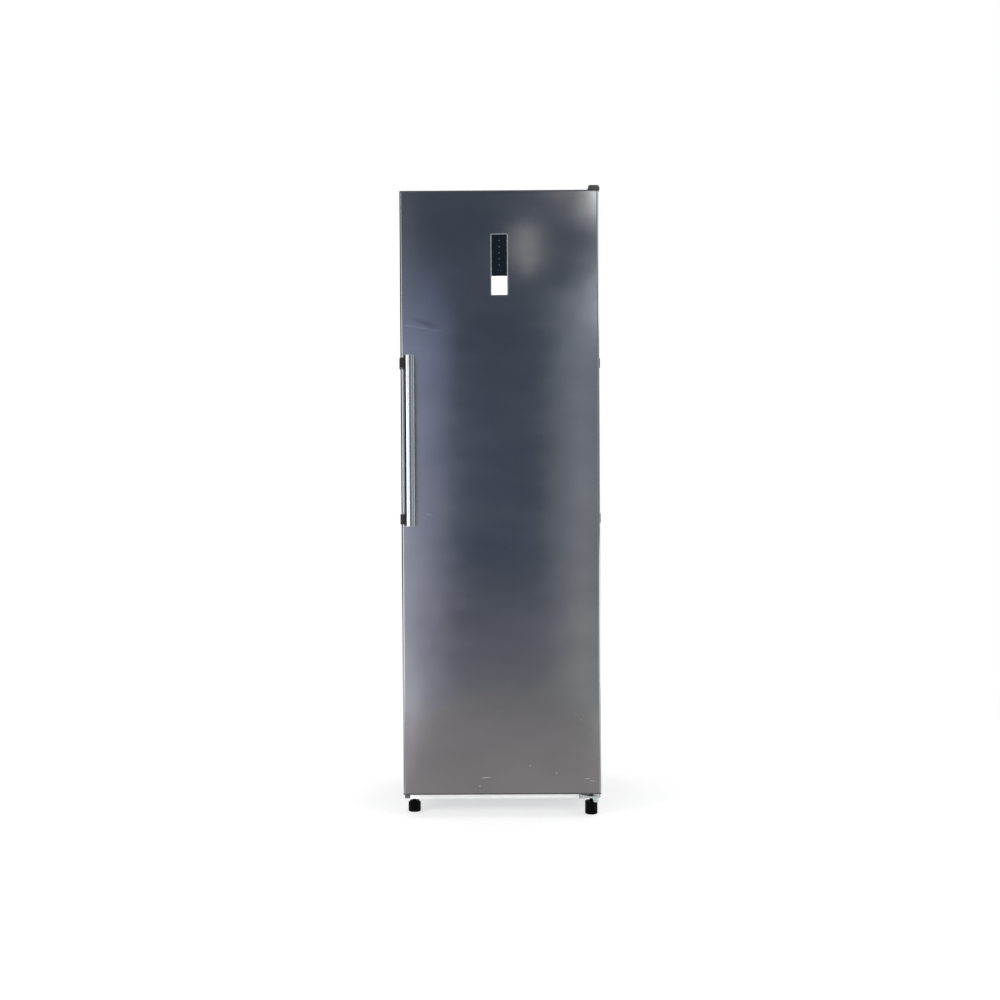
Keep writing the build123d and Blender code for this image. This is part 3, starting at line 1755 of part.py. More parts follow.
def rear_roller(place):
    x, y, z = place
    half = roller_width / 2
    wheel = rod((x - half, y, z), (x + half, y, z), roller_radius)
    wheel = fillet(wheel.edges().filter_by(GeomType.CIRCLE), 2)
    return wheel - rod((x - half - 1, y, z), (x + half + 1, y, z), axle_radius + shaft_clearance)


# ---- Write every piece ----

pieces = {
    "left_side_panel": left_side_panel(),
    "right_side_panel": right_side_panel(),
    "top_panel": top_panel(),
    "rear_panel": rear_panel(),
    "base_pan": base_pan(),
    "front_rail": front_rail(),
    "cabinet_foam": cabinet_foam(),
    "inner_liner": inner_liner(),
    "shelf_runners": shelf_runners(),
    "glass_shelves": glass_shelves(),
    "shelf_trims": shelf_trims(),
    "evaporator_cover": evaporator_cover(),
    "evaporator_coil": evaporator_coil(),
    "defrost_heater": defrost_heater(),
    "fan_shroud": fan_shroud(),
    "fan_motor": fan_motor(),
    "evaporator_fan": evaporator_fan(),
    "interior_light": interior_light(),
    "compressor_base": compressor_base(),
    "compressor": compressor(),
    "compressor_relay_cover": compressor_relay_cover(),
    "compressor_grommets": compressor_grommets(),
    "evaporating_tray": evaporating_tray(),
    "filter_drier": filter_drier(),
    "refrigerant_pipes": refrigerant_pipes(),
    "control_box": control_box(),
    "mains_inlet": mains_inlet(),
    "condenser_coil": condenser_coil(),
    "condenser_wires": condenser_wires(),
    "condenser_clips": condenser_clips(),
    "door_skin": door_skin(),
    "door_top_cap": door_top_cap(),
    "door_bottom_cap": door_bottom_cap(),
    "door_foam": door_foam(),
    "door_liner": door_liner(),
    "door_gasket": door_gasket(),
    "handle_bar": handle_bar(),
    "handle_brackets": handle_brackets(),
    "handle_screws": handle_screws(),
    "side_hole_plugs": side_hole_plugs(),
    "panel_bezel": panel_bezel(),
    "panel_glass": panel_glass(),
    "display_window": display_window(),
    "control_board": control_board(),
    "top_hinge_bracket": top_hinge_bracket(),
    "top_hinge_cover": top_hinge_cover(),
    "bottom_hinge_bracket": bottom_hinge_bracket(),
    "hinge_screws": hinge_screws(),
    "front_left_foot": levelling_foot(left_foot, foot_height, foot_edge_radius, foot_collar_height),
    "front_right_foot": levelling_foot(right_foot, right_foot_height, right_shoulder_radius, 0),
    "roller_brackets": roller_brackets(),
    "rear_left_roller": rear_roller(roller_places()[0]),
    "rear_right_roller": rear_roller(roller_places()[1]),
}
for index in range(drawer_count):
    pieces[f"drawer_{index + 1}"] = drawer(index)
for index in range(2):
    pieces[f"flap_{index + 1}"] = flap(index)

for name, shape in pieces.items():
    save(name, shape)
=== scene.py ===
import math

import bpy
from mathutils import Matrix, Vector


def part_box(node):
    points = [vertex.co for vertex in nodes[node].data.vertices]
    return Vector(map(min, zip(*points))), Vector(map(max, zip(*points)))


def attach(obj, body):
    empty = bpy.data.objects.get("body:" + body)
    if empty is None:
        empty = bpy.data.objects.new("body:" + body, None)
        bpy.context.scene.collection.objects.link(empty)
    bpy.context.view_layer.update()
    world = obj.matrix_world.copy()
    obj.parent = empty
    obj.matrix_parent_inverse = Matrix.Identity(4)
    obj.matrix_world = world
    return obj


# Tall freezer with one full height door: surface finishes, the printed panel icons and a plain studio.
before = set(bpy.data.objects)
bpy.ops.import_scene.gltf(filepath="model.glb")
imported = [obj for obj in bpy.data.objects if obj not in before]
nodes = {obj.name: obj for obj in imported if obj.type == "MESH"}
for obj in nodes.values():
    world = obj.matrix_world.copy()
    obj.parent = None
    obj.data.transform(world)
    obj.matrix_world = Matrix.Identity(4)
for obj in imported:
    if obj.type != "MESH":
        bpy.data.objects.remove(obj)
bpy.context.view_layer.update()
scene = bpy.context.scene
scene.view_settings.view_transform = "Standard"
millimetre = 0.001
print("frame loaded,", len(nodes), "nodes")


def colour(text):
    # sRGB hex to the linear values that Blender's sockets take
    parts = [int(text[i:i + 2], 16) / 255 for i in (1, 3, 5)]
    return tuple(c / 12.92 if c <= 0.04045 else ((c + 0.055) / 1.055) ** 2.4 for c in parts) + (1.0,)


def addNode(tree, kind, settings=None, links=None):
    node = tree.nodes.new(kind)
    for key, value in (settings or {}).items():
        if isinstance(key, int) or key in node.inputs:
            node.inputs[key].default_value = value
        else:
            setattr(node, key, value)
    for key, socket in (links or {}).items():
        tree.links.new(socket, node.inputs[key])
    return node


# the patterns' sizes are all in millimetres
evenly = (1, 1, 1)              # not drawn out along any axis
toneBreakup = 0.55              # how much the fine parts of a colour pattern count
glossDetail = 4.0
glossRange = (0.3, 0.7)         # most of the noise lies between these values


def perMetre(millimetres):
    # a pattern's real size as a texture scale
    return 1000 / millimetres


def patches(tree, place, size, stretch, detail, breakup=0.5):
    # cloudy patches of a real size, drawn out along each axis whose stretch is under 1
    spread = addNode(tree, "ShaderNodeMapping", {"Scale": stretch}, {"Vector": place})
    cloud = addNode(tree, "ShaderNodeTexNoise",
                    {"Scale": perMetre(size), "Detail": detail, "Roughness": breakup},
                    {"Vector": spread.outputs["Vector"]})
    return cloud.outputs["Fac"]


def mottle(tree, shader, place, dark, light, size, stretch=evenly, detail=3.0):
    # slow colour change between two near tones
    tones = addNode(tree, "ShaderNodeMix", {"data_type": "RGBA", 6: colour(dark), 7: colour(light)},
                    {0: patches(tree, place, size, stretch, detail, toneBreakup)})
    tree.links.new(tones.outputs[2], shader.inputs["Base Color"])
    return tones.outputs[2]


def sheen(tree, shader, place, low, high, size, stretch=evenly):
    # roughness that wanders a little, as handling and cleaning leave it
    levels = addNode(tree, "ShaderNodeMapRange",
                     {"From Min": glossRange[0], "From Max": glossRange[1], "To Min": low, "To Max": high},
                     {"Value": patches(tree, place, size, stretch, glossDetail)})
    tree.links.new(levels.outputs["Result"], shader.inputs["Roughness"])


def relief(tree, shader, place, size, depth, strength, stretch=evenly, detail=2.0):
    # fine surface grain
    bump = addNode(tree, "ShaderNodeBump", {"Strength": strength, "Distance": depth * millimetre},
                   {"Height": patches(tree, place, size, stretch, detail)})
    tree.links.new(bump.outputs["Normal"], shader.inputs["Normal"])
    return bump


def newFinish(name, settings):
    # a material with its shader and the piece's own coordinates, ready for a pattern
    material = bpy.data.materials.new(name)
    material.use_nodes = True
    tree = material.node_tree
    tree.nodes.clear()
    shader = addNode(tree, "ShaderNodeBsdfPrincipled", settings)
    addNode(tree, "ShaderNodeOutputMaterial", {}, {"Surface": shader.outputs["BSDF"]})
    place = addNode(tree, "ShaderNodeTexCoord").outputs["Object"]
    return material, tree, shader, place


def patternedFinish(name, settings, tone, gloss, grain):
    # what most finishes need: two near tones, a gloss that wanders and a fine grain
    material, tree, shader, place = newFinish(name, settings)
    shown = mottle(tree, shader, place, **tone)
    if "Emission Strength" in settings:             # a glowing finish glows in its own tones: a real lamp for the light's diffuser, painted light for the display window
        tree.links.new(shown, shader.inputs["Emission Color"])
    sheen(tree, shader, place, **gloss)
    relief(tree, shader, place, **grain)
    return material


# the door's steel sheet
doorFinish = {
    "shader": {"Metallic": 1.0, "Roughness": 0.13},
    "tone": {"dark": "#9ca0a3", "light": "#bcbdbf", "size": 350, "stretch": (1, 1, 2), "detail": 6.0},
    "gloss": {"low": 0.115, "high": 0.155, "size": 120, "stretch": (0.6, 1, 2)},
    # real brushed lines are 0.05 mm apart, these are drawn coarser to show
    "brush": {"size": 0.9, "depth": 0.004, "strength": 0.35, "stretch": (0.004, 0.004, 1), "detail": 1.0},
    # thin sheet over foam is never quite flat
    "wave": {"size": 160, "stretch": evenly, "detail": 1.5},
    "waveDepth": 0.6,
    # dull smudges, pale smears and white scratches: tone, strength, then each mark's centre x and z,
    # half length, half width and tilt
    "marks": [
        ("#7c7f84", 0.5, [(-0.224, 1.4934, 0.054, 0.012, -19)]),
        ("#d4d7de", 0.45, [(-0.272, 1.4847, 0.022, 0.0034, -10), (-0.191, 1.4713, 0.022, 0.0034, -6),
                           (-0.232, 1.4780, 0.050, 0.0018, -8), (-0.214, 0.918, 0.014, 0.005, -10),
                           (0.240, 0.2960, 0.008, 0.0018, -45), (0.2655, 0.254, 0.005, 0.0018, -45),
                           (0.226, 0.3120, 0.020, 0.0014, -52)]),
        ("#ffffff", 0.95, [(-0.0500, 0.1232, 0.022, 0.0017, 5), (-0.0673, 0.0983, 0.005, 0.0016, 30),
                           (0.1636, 0.1365, 0.005, 0.0018, -20), (0.2570, 0.1186, 0.010, 0.0018, 3),
                           (0.2720, 0.1120, 0.012, 0.0013, -10), (0.085, 0.158, 0.004, 0.0014, 40)]),
    ],
    "markCore": 0.2,            # the share of a mark that is at full strength, its edge fades out from there
}


def markMask(tree, place, marks, strength):
    # soft edged ellipses in the plane of the door front
    whole = None
    for x, z, reach, width, angle in marks:
        shift = addNode(tree, "ShaderNodeVectorMath", {"operation": "SUBTRACT", 1: (x, 0.0, z)}, {0: place})
        turned = addNode(tree, "ShaderNodeVectorRotate",
                         {"rotation_type": "Y_AXIS", "Angle": math.radians(angle)},
                         {"Vector": shift.outputs["Vector"]})
        shaped = addNode(tree, "ShaderNodeVectorMath",
                         {"operation": "MULTIPLY", 1: (1 / reach, 0.0, 1 / width)},
                         {0: turned.outputs["Vector"]})
        away = addNode(tree, "ShaderNodeVectorMath", {"operation": "LENGTH"}, {0: shaped.outputs["Vector"]})
        fade = addNode(tree, "ShaderNodeMapRange",
                       {"From Min": 1.0, "From Max": doorFinish["markCore"],
                        "To Min": 0.0, "To Max": strength}, {"Value": away.outputs["Value"]})
        mark = fade.outputs["Result"]
        if whole is None:
            whole = mark
        else:
            both = addNode(tree, "ShaderNodeMath", {"operation": "MAXIMUM"}, {0: whole, 1: mark})
            whole = both.outputs["Value"]
    return whole


def brushedStainlessDoor():
    # stainless sheet brushed across: long soft reflections, faint lines, finger smears
    material, tree, shader, place = newFinish("brushedStainlessSheet", doorFinish["shader"])
    steel = mottle(tree, shader, place, **doorFinish["tone"])
    sheen(tree, shader, place, **doorFinish["gloss"])
    lines = relief(tree, shader, place, **doorFinish["brush"])
    swell = addNode(tree, "ShaderNodeBump",
                    {"Strength": 1.0, "Distance": doorFinish["waveDepth"] * millimetre},
                    {"Height": patches(tree, place, **doorFinish["wave"])})
    tree.links.new(swell.outputs["Normal"], lines.inputs["Normal"])
    for tone, strength, marks in doorFinish["marks"]:
        marked = addNode(tree, "ShaderNodeMix", {"data_type": "RGBA", 7: colour(tone)},
                         {0: markMask(tree, place, marks, strength), 6: steel})
        steel = marked.outputs[2]
    tree.links.new(steel, shader.inputs["Base Color"])
    return material


def mouldedPlastic(name, dark, light, roughness, grain, depth, extra=None):
    # injection moulded or vacuum formed: an even tone with a tooled grain that scatters the highlights
    return patternedFinish(name, {"IOR": 1.49, "Roughness": roughness, **(extra or {})},
                           tone={"dark": dark, "light": light, "size": 60},
                           gloss={"low": roughness - 0.05, "high": roughness + 0.05, "size": 35},
                           grain={"size": grain, "depth": depth, "strength": 0.6})


def paintedSheet(name, dark, light, roughness):
    # coil coated or enamelled steel: an even coat with a slight orange peel in its gloss
    return patternedFinish(name, {"IOR": 1.5, "Roughness": roughness,
                                  "Coat Weight": 0.25, "Coat Roughness": 0.2},
                           tone={"dark": dark, "light": light, "size": 400},
                           gloss={"low": roughness - 0.04, "high": roughness + 0.04, "size": 150},
                           grain={"size": 3.0, "depth": 0.02, "strength": 0.35})


def blackEnamel(name, roughness):
    # stoved or dipped black enamel on steel: glossy, with a soft orange peel
    return patternedFinish(name, {"IOR": 1.52, "Roughness": roughness,
                                  "Coat Weight": 0.6, "Coat Roughness": 0.12},
                           tone={"dark": "#141414", "light": "#1f1f20", "size": 70},
                           gloss={"low": roughness - 0.06, "high": roughness + 0.08, "size": 40},
                           grain={"size": 2.5, "depth": 0.03, "strength": 0.5})


def brightCoat(name, dark, light, roughness, metal):
    # chrome plate or silver lacquer: high gloss with the faint long waves of the polished base
    return patternedFinish(name, {"Metallic": metal, "Roughness": roughness},
                           tone={"dark": dark, "light": light, "size": 90},
                           gloss={"low": roughness, "high": roughness + 0.04, "size": 40,
                                  "stretch": (1, 1, 0.3)},
                           grain={"size": 25, "depth": 0.01, "strength": 0.25, "stretch": (1, 1, 0.2)})


def zincCoat(name, dark, light, roughness, spangle, metal):
    # zinc on steel: a cool grey metal that breaks into grains of slightly different tone and gloss
    material, tree, shader, place = newFinish(name, {"Metallic": metal, "Roughness": roughness})
    cells = addNode(tree, "ShaderNodeTexVoronoi", {"Scale": perMetre(spangle), "Randomness": 1.0},
                    {"Vector": place})
    level = addNode(tree, "ShaderNodeSeparateColor", {}, {"Color": cells.outputs["Color"]})
    tones = addNode(tree, "ShaderNodeMix", {"data_type": "RGBA", 6: colour(dark), 7: colour(light)},
                    {0: level.outputs["Red"]})
    tree.links.new(tones.outputs[2], shader.inputs["Base Color"])
    gloss = addNode(tree, "ShaderNodeMapRange", {"To Min": roughness - 0.07, "To Max": roughness + 0.07},
                    {"Value": level.outputs["Green"]})
    tree.links.new(gloss.outputs["Result"], shader.inputs["Roughness"])
    relief(tree, shader, place, size=spangle / 2, depth=0.01, strength=0.4)
    return material


def clearDrawer():
    # clear moulded polystyrene: see-through with a cool tint and faint flow lines
    return patternedFinish("clearMouldedPolystyrene",
                           {"IOR": 1.5, "Roughness": 0.08, "Transmission Weight": 0.9},
                           tone={"dark": "#dfeaf0", "light": "#f1f7fa", "size": 120},
                           gloss={"low": 0.05, "high": 0.14, "size": 60},
                           grain={"size": 18, "depth": 0.03, "strength": 0.5, "stretch": (1, 1, 0.4)})


def shelfGlass():
    # float glass, toughened: a faint green tint and a hard even gloss
    return patternedFinish("toughenedFloatGlass",
                           {"IOR": 1.52, "Roughness": 0.02, "Transmission Weight": 0.95},
                           tone={"dark": "#cfe8df", "light": "#dcf2ea", "size": 300},
                           gloss={"low": 0.01, "high": 0.05, "size": 80},
                           grain={"size": 60, "depth": 0.01, "strength": 0.15})


def panelGlass():
    # black printed glass: near black with a blue cast and a hard gloss
    return patternedFinish("blackPrintedGlass", {"IOR": 1.52, "Roughness": 0.06},
                           tone={"dark": "#0b1016", "light": "#10161e", "size": 25},
                           gloss={"low": 0.05, "high": 0.09, "size": 20},
                           grain={"size": 30, "depth": 0.005, "strength": 0.1})


def displayWindow():
    # moulded white acrylic diffuser, faintly cloudy, with a low painted glow that brightens it though no
    # lamp lights it
    # the emission here is painted light that makes the window read white, not a lamp
    return patternedFinish("paintedGlowDiffuser", {"IOR": 1.49, "Roughness": 0.18, "Emission Strength": 0.55},
                           tone={"dark": "#f2f6f6", "light": "#fbfdfd", "size": 12},
                           gloss={"low": 0.14, "high": 0.22, "size": 20},
                           grain={"size": 1.2, "depth": 0.004, "strength": 0.3})


def lampDiffuser():
    # moulded opal polycarbonate over white diodes: a milky glow in soft patches
    return patternedFinish("opalPolycarbonate", {"IOR": 1.58, "Roughness": 0.3, "Emission Strength": 0.8},
                           tone={"dark": "#f3f4ef", "light": "#fffffa", "size": 20},
                           gloss={"low": 0.25, "high": 0.35, "size": 20},
                           grain={"size": 1.5, "depth": 0.01, "strength": 0.4})


def gasketVinyl():
    # extruded soft vinyl: matt grey with a fine, slightly uneven skin
    return patternedFinish("extrudedSoftVinyl", {"IOR": 1.53, "Roughness": 0.55},
                           tone={"dark": "#9a9c9f", "light": "#a8aaad", "size": 80},
                           gloss={"low": 0.48, "high": 0.62, "size": 40},
                           grain={"size": 1.4, "depth": 0.03, "strength": 0.5})


def blackRubber():
    # moulded synthetic rubber: deep matt black with a little bloom
    return patternedFinish("mouldedEpdmRubber", {"IOR": 1.52, "Roughness": 0.7},
                           tone={"dark": "#151515", "light": "#232323", "size": 18},
                           gloss={"low": 0.6, "high": 0.8, "size": 15},
                           grain={"size": 0.9, "depth": 0.03, "strength": 0.6})


def copperTube():
    # drawn copper: warm metal browned in patches by handling and brazing heat
    return patternedFinish("drawnCopper", {"Metallic": 1.0, "Roughness": 0.28},
                           tone={"dark": "#9c5a3a", "light": "#d08a62", "size": 35, "detail": 5.0},
                           gloss={"low": 0.2, "high": 0.38, "size": 25},
                           grain={"size": 2.0, "depth": 0.02, "strength": 0.4})


def evaporatorFins():
    # thin rolled aluminium: bright silver with fine rolling lines and a light frost bloom
    return patternedFinish("rolledAluminiumFin", {"Metallic": 1.0, "Roughness": 0.32},
                           tone={"dark": "#b9bcbf", "light": "#d5d8da", "size": 30},
                           gloss={"low": 0.26, "high": 0.42, "size": 20},
                           grain={"size": 1.2, "depth": 0.01, "strength": 0.5, "stretch": (0.2, 1, 1)})


def printedInk():
    # screen printed ink, unlit: dim blue-grey, flat and matt
    return patternedFinish("screenPrintedInk", {"IOR": 1.45, "Roughness": 0.5},
                           tone={"dark": "#343d43", "light": "#4c565c", "size": 3},
                           gloss={"low": 0.45, "high": 0.6, "size": 4},
                           grain={"size": 0.4, "depth": 0.01, "strength": 0.3})


foamFinish = {
    "tone": {"dark": "#c9ab66", "light": "#e0c88e", "size": 45},
    "cell": 1.6, "cellDepth": 0.4, "cellStrength": 0.7,
}


def polyurethaneFoam():
    # poured rigid foam: honey coloured skin full of fine cells
    material, tree, shader, place = newFinish("pouredPolyurethaneFoam",
                                              {"IOR": 1.4, "Roughness": 0.9, "Sheen Weight": 0.1})
    mottle(tree, shader, place, **foamFinish["tone"])
    cells = addNode(tree, "ShaderNodeTexVoronoi",
                    {"Scale": perMetre(foamFinish["cell"]), "feature": "SMOOTH_F1"}, {"Vector": place})
    pit = addNode(tree, "ShaderNodeBump",
                  {"Strength": foamFinish["cellStrength"], "Distance": foamFinish["cellDepth"] * millimetre},
                  {"Height": cells.outputs["Distance"]})
    tree.links.new(pit.outputs["Normal"], shader.inputs["Normal"])
    return material


boardFinish = {"dark": "#0c4a26", "light": "#0f5a2e", "track": "#2f7a4a", "spacing": 20, "trackShare": 0.03}


def circuitBoard():
    # glass epoxy board: green lacquer, with paler bands where copper runs under it
    material, tree, shader, place = newFinish("greenSolderMask", {"IOR": 1.5, "Roughness": 0.3})
    bands = addNode(tree, "ShaderNodeTexBrick",
                    {"Color1": colour(boardFinish["dark"]), "Color2": colour(boardFinish["light"]),
                     "Mortar": colour(boardFinish["track"]), "Scale": perMetre(boardFinish["spacing"]),
                     "Mortar Size": boardFinish["trackShare"]}, {"Vector": place})
    tree.links.new(bands.outputs["Color"], shader.inputs["Base Color"])
    sheen(tree, shader, place, low=0.24, high=0.38, size=12)
    relief(tree, shader, place, size=1.0, depth=0.02, strength=0.4)
    return material


# each finish with the pieces that wear it
finishes = [
    (brushedStainlessDoor(), ["door_skin"]),
    (paintedSheet("coilCoatedSideSheet", "#4a4c4f", "#525457", roughness=0.36),
     ["left_side_panel", "right_side_panel", "top_panel"]),
    (paintedSheet("whiteEnamelledRail", "#f3f3f3", "#fafafa", roughness=0.3), ["front_rail"]),
    (zincCoat("hotDipGalvanisedSheet", "#a2a6a9", "#b3b7ba", roughness=0.36, spangle=12, metal=1.0),
     ["rear_panel", "base_pan", "compressor_base", "roller_brackets"]),
    (zincCoat("brightZincPlate", "#b8c2c4", "#d6dcdb", roughness=0.26, spangle=3, metal=0.6),
     ["handle_screws", "defrost_heater", "top_hinge_bracket", "bottom_hinge_bracket", "hinge_screws"]),
    (brightCoat("chromePlatedBar", "#d9dbde", "#e6e8ea", roughness=0.04, metal=1.0), ["handle_bar"]),
    (brightCoat("silverLacqueredAbsFrame", "#b4b8be", "#c8ccd2", roughness=0.2, metal=0.75),
     ["panel_bezel"]),
    (mouldedPlastic("polishedAbsHingeCover", "#232426", "#2c2e30", roughness=0.16, grain=2.0, depth=0.01),
     ["top_hinge_cover"]),
    (mouldedPlastic("grainedNylonBracket", "#10110f", "#181916", roughness=0.5, grain=0.9, depth=0.03),
     ["handle_brackets"]),
    (mouldedPlastic("blackMouldedNylonFoot", "#020202", "#060606", roughness=0.5, grain=0.9, depth=0.03,
                    extra={"Specular IOR Level": 0.06}),
     ["front_left_foot", "front_right_foot", "rear_left_roller", "rear_right_roller"]),
    (mouldedPlastic("mouldedAbsCap", "#35373a", "#3e4043", roughness=0.4, grain=0.8, depth=0.02),
     ["door_top_cap", "door_bottom_cap", "side_hole_plugs"]),
    (mouldedPlastic("blackMouldedPolypropylene", "#141414", "#1e1e1e",
                    roughness=0.45, grain=0.9, depth=0.03),
     ["fan_shroud", "fan_motor", "compressor_relay_cover", "evaporating_tray", "mains_inlet"]),
    (mouldedPlastic("whiteMouldedPolystyrene", "#d8dbdc", "#e3e5e5", roughness=0.32, grain=1.0, depth=0.01),
     ["shelf_runners", "shelf_trims", "evaporator_cover", "evaporator_fan"]),
    (mouldedPlastic("vacuumFormedPolystyrene", "#bcc0c1", "#c3c6c7", roughness=0.45, grain=1.5, depth=0.008),
     ["door_liner", "inner_liner"]),
    (mouldedPlastic("whiteMouldedAbsBox", "#dcdedd", "#e6e8e7", roughness=0.4, grain=0.9, depth=0.02),
     ["control_box", "condenser_clips"]),
    (blackEnamel("stovedCompressorEnamel", roughness=0.3), ["compressor"]),
    (blackEnamel("dippedCondenserEnamel", roughness=0.38), ["condenser_coil", "condenser_wires"]),
    (clearDrawer(), ["drawer_1", "drawer_2", "drawer_3", "drawer_4", "drawer_5", "flap_1", "flap_2"]),
    (shelfGlass(), ["glass_shelves"]),
    (panelGlass(), ["panel_glass"]),
    (displayWindow(), ["display_window"]),
    (lampDiffuser(), ["interior_light"]),
    (polyurethaneFoam(), ["door_foam", "cabinet_foam"]),
    (gasketVinyl(), ["door_gasket"]),
    (blackRubber(), ["compressor_grommets"]),
    (copperTube(), ["filter_drier", "refrigerant_pipes"]),
    (evaporatorFins(), ["evaporator_coil"]),
    (circuitBoard(), ["control_board"]),
]
finishOf = {name: material for material, names in finishes for name in names}
for name, piece in nodes.items():
    piece.data.materials.clear()
    piece.data.materials.append(finishOf[name])
print("finishes given to", len(nodes), "nodes")


# the icons printed on the panel glass: each one's x and z, then its strokes in millimetres from there, as
# a bar's middle, length, width and angle, or a ring's middle, radius, width and corners
icons = {
    "glassY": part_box("panel_glass")[0].y,
    "ink": 0.06,
    "flake": ((0.0, 1.7386), [("bar", 0, 0, 5, 0.9, angle) for angle in (0, 60, 120)]),
    "bell": ((0.0, 1.7201), [("ring", 0, 0, 2.5, 0.9, 24), ("bar", 0, 0, 2.5, 0.9, 90)]),
    "padlock": ((0.0, 1.7021), [("bar", 0, -0.9, 3.75, 2.5, 0), ("ring", 0, 1, 1.4, 0.72, 24)]),
    "drop": ((0.0, 1.6842), [("ring", 0, 0, 2.5, 0.9, 6)]),
    "lamp": ((0.0, 1.6665), [("ring", 0, 0, 1.8, 0.9, 24), ("bar", 0, -2.6, 2.5, 0.9, 0)]),
    "minus": ((-0.0048, 1.6486), [("bar", 0, 0, 3, 0.9, 0)]),
    "plus": ((0.0048, 1.6486), [("bar", 0, 0, 3, 0.9, 0), ("bar", 0, 0, 3, 0.9, 90)]),
}


def clearSelection():
    if bpy.context.object and bpy.context.object.mode != "OBJECT":
        bpy.ops.object.mode_set(mode="OBJECT")
    bpy.ops.object.select_all(action="DESELECT")


def printedRing(place, radius, width, corners):
    # a disc facing forward, inset, its middle taken out
    clearSelection()
    bpy.ops.mesh.primitive_circle_add(vertices=corners, radius=radius, fill_type="NGON", location=place,
                                      rotation=(math.radians(90), 0, 0))
    bpy.ops.object.mode_set(mode="EDIT")
    bpy.ops.mesh.select_all(action="SELECT")
    bpy.ops.mesh.inset(thickness=width, depth=0)
    bpy.ops.mesh.delete(type="FACE")
    bpy.ops.object.mode_set(mode="OBJECT")
    return bpy.context.object


def printedBar(place, length, width, angle):
    # a flat strip facing forward, turned in its own plane
    clearSelection()
    bpy.ops.mesh.primitive_plane_add(size=1, location=place, rotation=(math.radians(90), 0, 0))
    bar = bpy.context.object
    bar.scale = (length, width, 1)
    bar.rotation_euler.y = math.radians(angle)
    return bar


def panelIcons():
    # all strokes joined into one piece, then given the ink's thickness
    parts = []
    for icon in ("flake", "bell", "padlock", "drop", "lamp", "minus", "plus"):
        (x, z), strokes = icons[icon]
        for kind, right, up, reach, width, last in strokes:
            place = (x + right * millimetre, icons["glassY"], z + up * millimetre)
            draw = printedRing if kind == "ring" else printedBar
            parts.append(draw(place, reach * millimetre, width * millimetre, last))
    clearSelection()
    for part in parts:
        part.select_set(True)
    bpy.context.view_layer.objects.active = parts[0]
    bpy.ops.object.transform_apply(location=True, rotation=True, scale=True)
    bpy.ops.object.join()
    piece = bpy.context.object
    piece.name = "panelIcons"
    bpy.ops.object.mode_set(mode="EDIT")
    bpy.ops.mesh.select_all(action="SELECT")
    bpy.ops.mesh.extrude_region_move(TRANSFORM_OT_translate={"value": (0, -icons["ink"] * millimetre, 0)})
    bpy.ops.mesh.select_all(action="SELECT")
    bpy.ops.mesh.normals_make_consistent(inside=False)
    bpy.ops.object.mode_set(mode="OBJECT")
    piece.data.materials.clear()
    piece.data.materials.append(printedInk())
    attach(piece, "door")


panelIcons()
print("panel icons printed")


# lit cards before the door, which only its gloss reflects
studio = {
    "cardY": -2.2,
    "cardScale": 1.4525,        # a card in that plane is this much larger than the door shows it
    "eye": (0.0199, 1.0246),    # x and z that the cards are lined up from, about the camera's
    "cardEdge": 0.5,            # a unit plane reaches this far from its middle in its own coordinates
}
turns = {"upright": (90, 0, 0), "sideways": (90, 0, 90), "flat": (0, 0, 0)}
pale = ("#f6f6f8", "#f6f6f8")

# what the door shows: name, middle x and z on the door, width and height there, tint and light at foot and
# top, the share of width and height that fades out, and how far behind cardY the card stands
doorCards = [
    ("lowFill", (0.02, 0.45), (0.90, 1.5), ("#fff2f4", "#e8edfa"), (0.475, 0.25), (0.3, 0.5), 0.10),
    ("darkRoom", (0.02, 1.35), (0.96, 2.5), ("#b9cbf2", "#c4d6f2"), (0.19, 0.152), (0.2, 0.62), 0.08),
    ("leftFlank", (-0.30, 0.65), (0.36, 2.2), ("#fff2fa", "#c2d2ff"), (0.49, 0.62), (0.65, 0.32), 0.06),
    ("leftEdge", (-0.33, 0.95), (0.18, 2.3), ("#f4f4fa", "#d6dcf8"), (1.45, 0.2), (1.0, 0.1), 0.04),
    ("leftFoot", (-0.335, 0.13), (0.16, 0.62), pale, (1.7, 1.3), (1.0, 0.35), 0.03),
    ("rightFlank", (0.26, 0.58), (0.30, 2.2), ("#fbf6e8", "#dfe8fb"), (0.49, 0.50), (1.0, 0.14), 0.05),
    ("rightUpper", (0.315, 1.58), (0.11, 0.40), ("#f2f2f6", "#f2f2f6"), (1.3, 1.9), (1.0, 1.0), 0.04),
    ("topEdge", (0.26, 1.950), (0.32, 0.22), ("#f2f0f0", "#f2f0f0"), (0.46, 0.46), (0.5, 0.6), 0.03),
    ("topCorner", (0.324, 1.889), (0.120, 0.235), ("#f6f3f3", "#f6f3f3"), (3.0, 3.3), (0.7, 0.6), 0.02),
    ("smallLamp", (0.083, 1.715), (0.12, 0.22), ("#fffdf8", "#fffdf8"), (0.9, 0.9), (1.0, 1.0), 0.0),
]
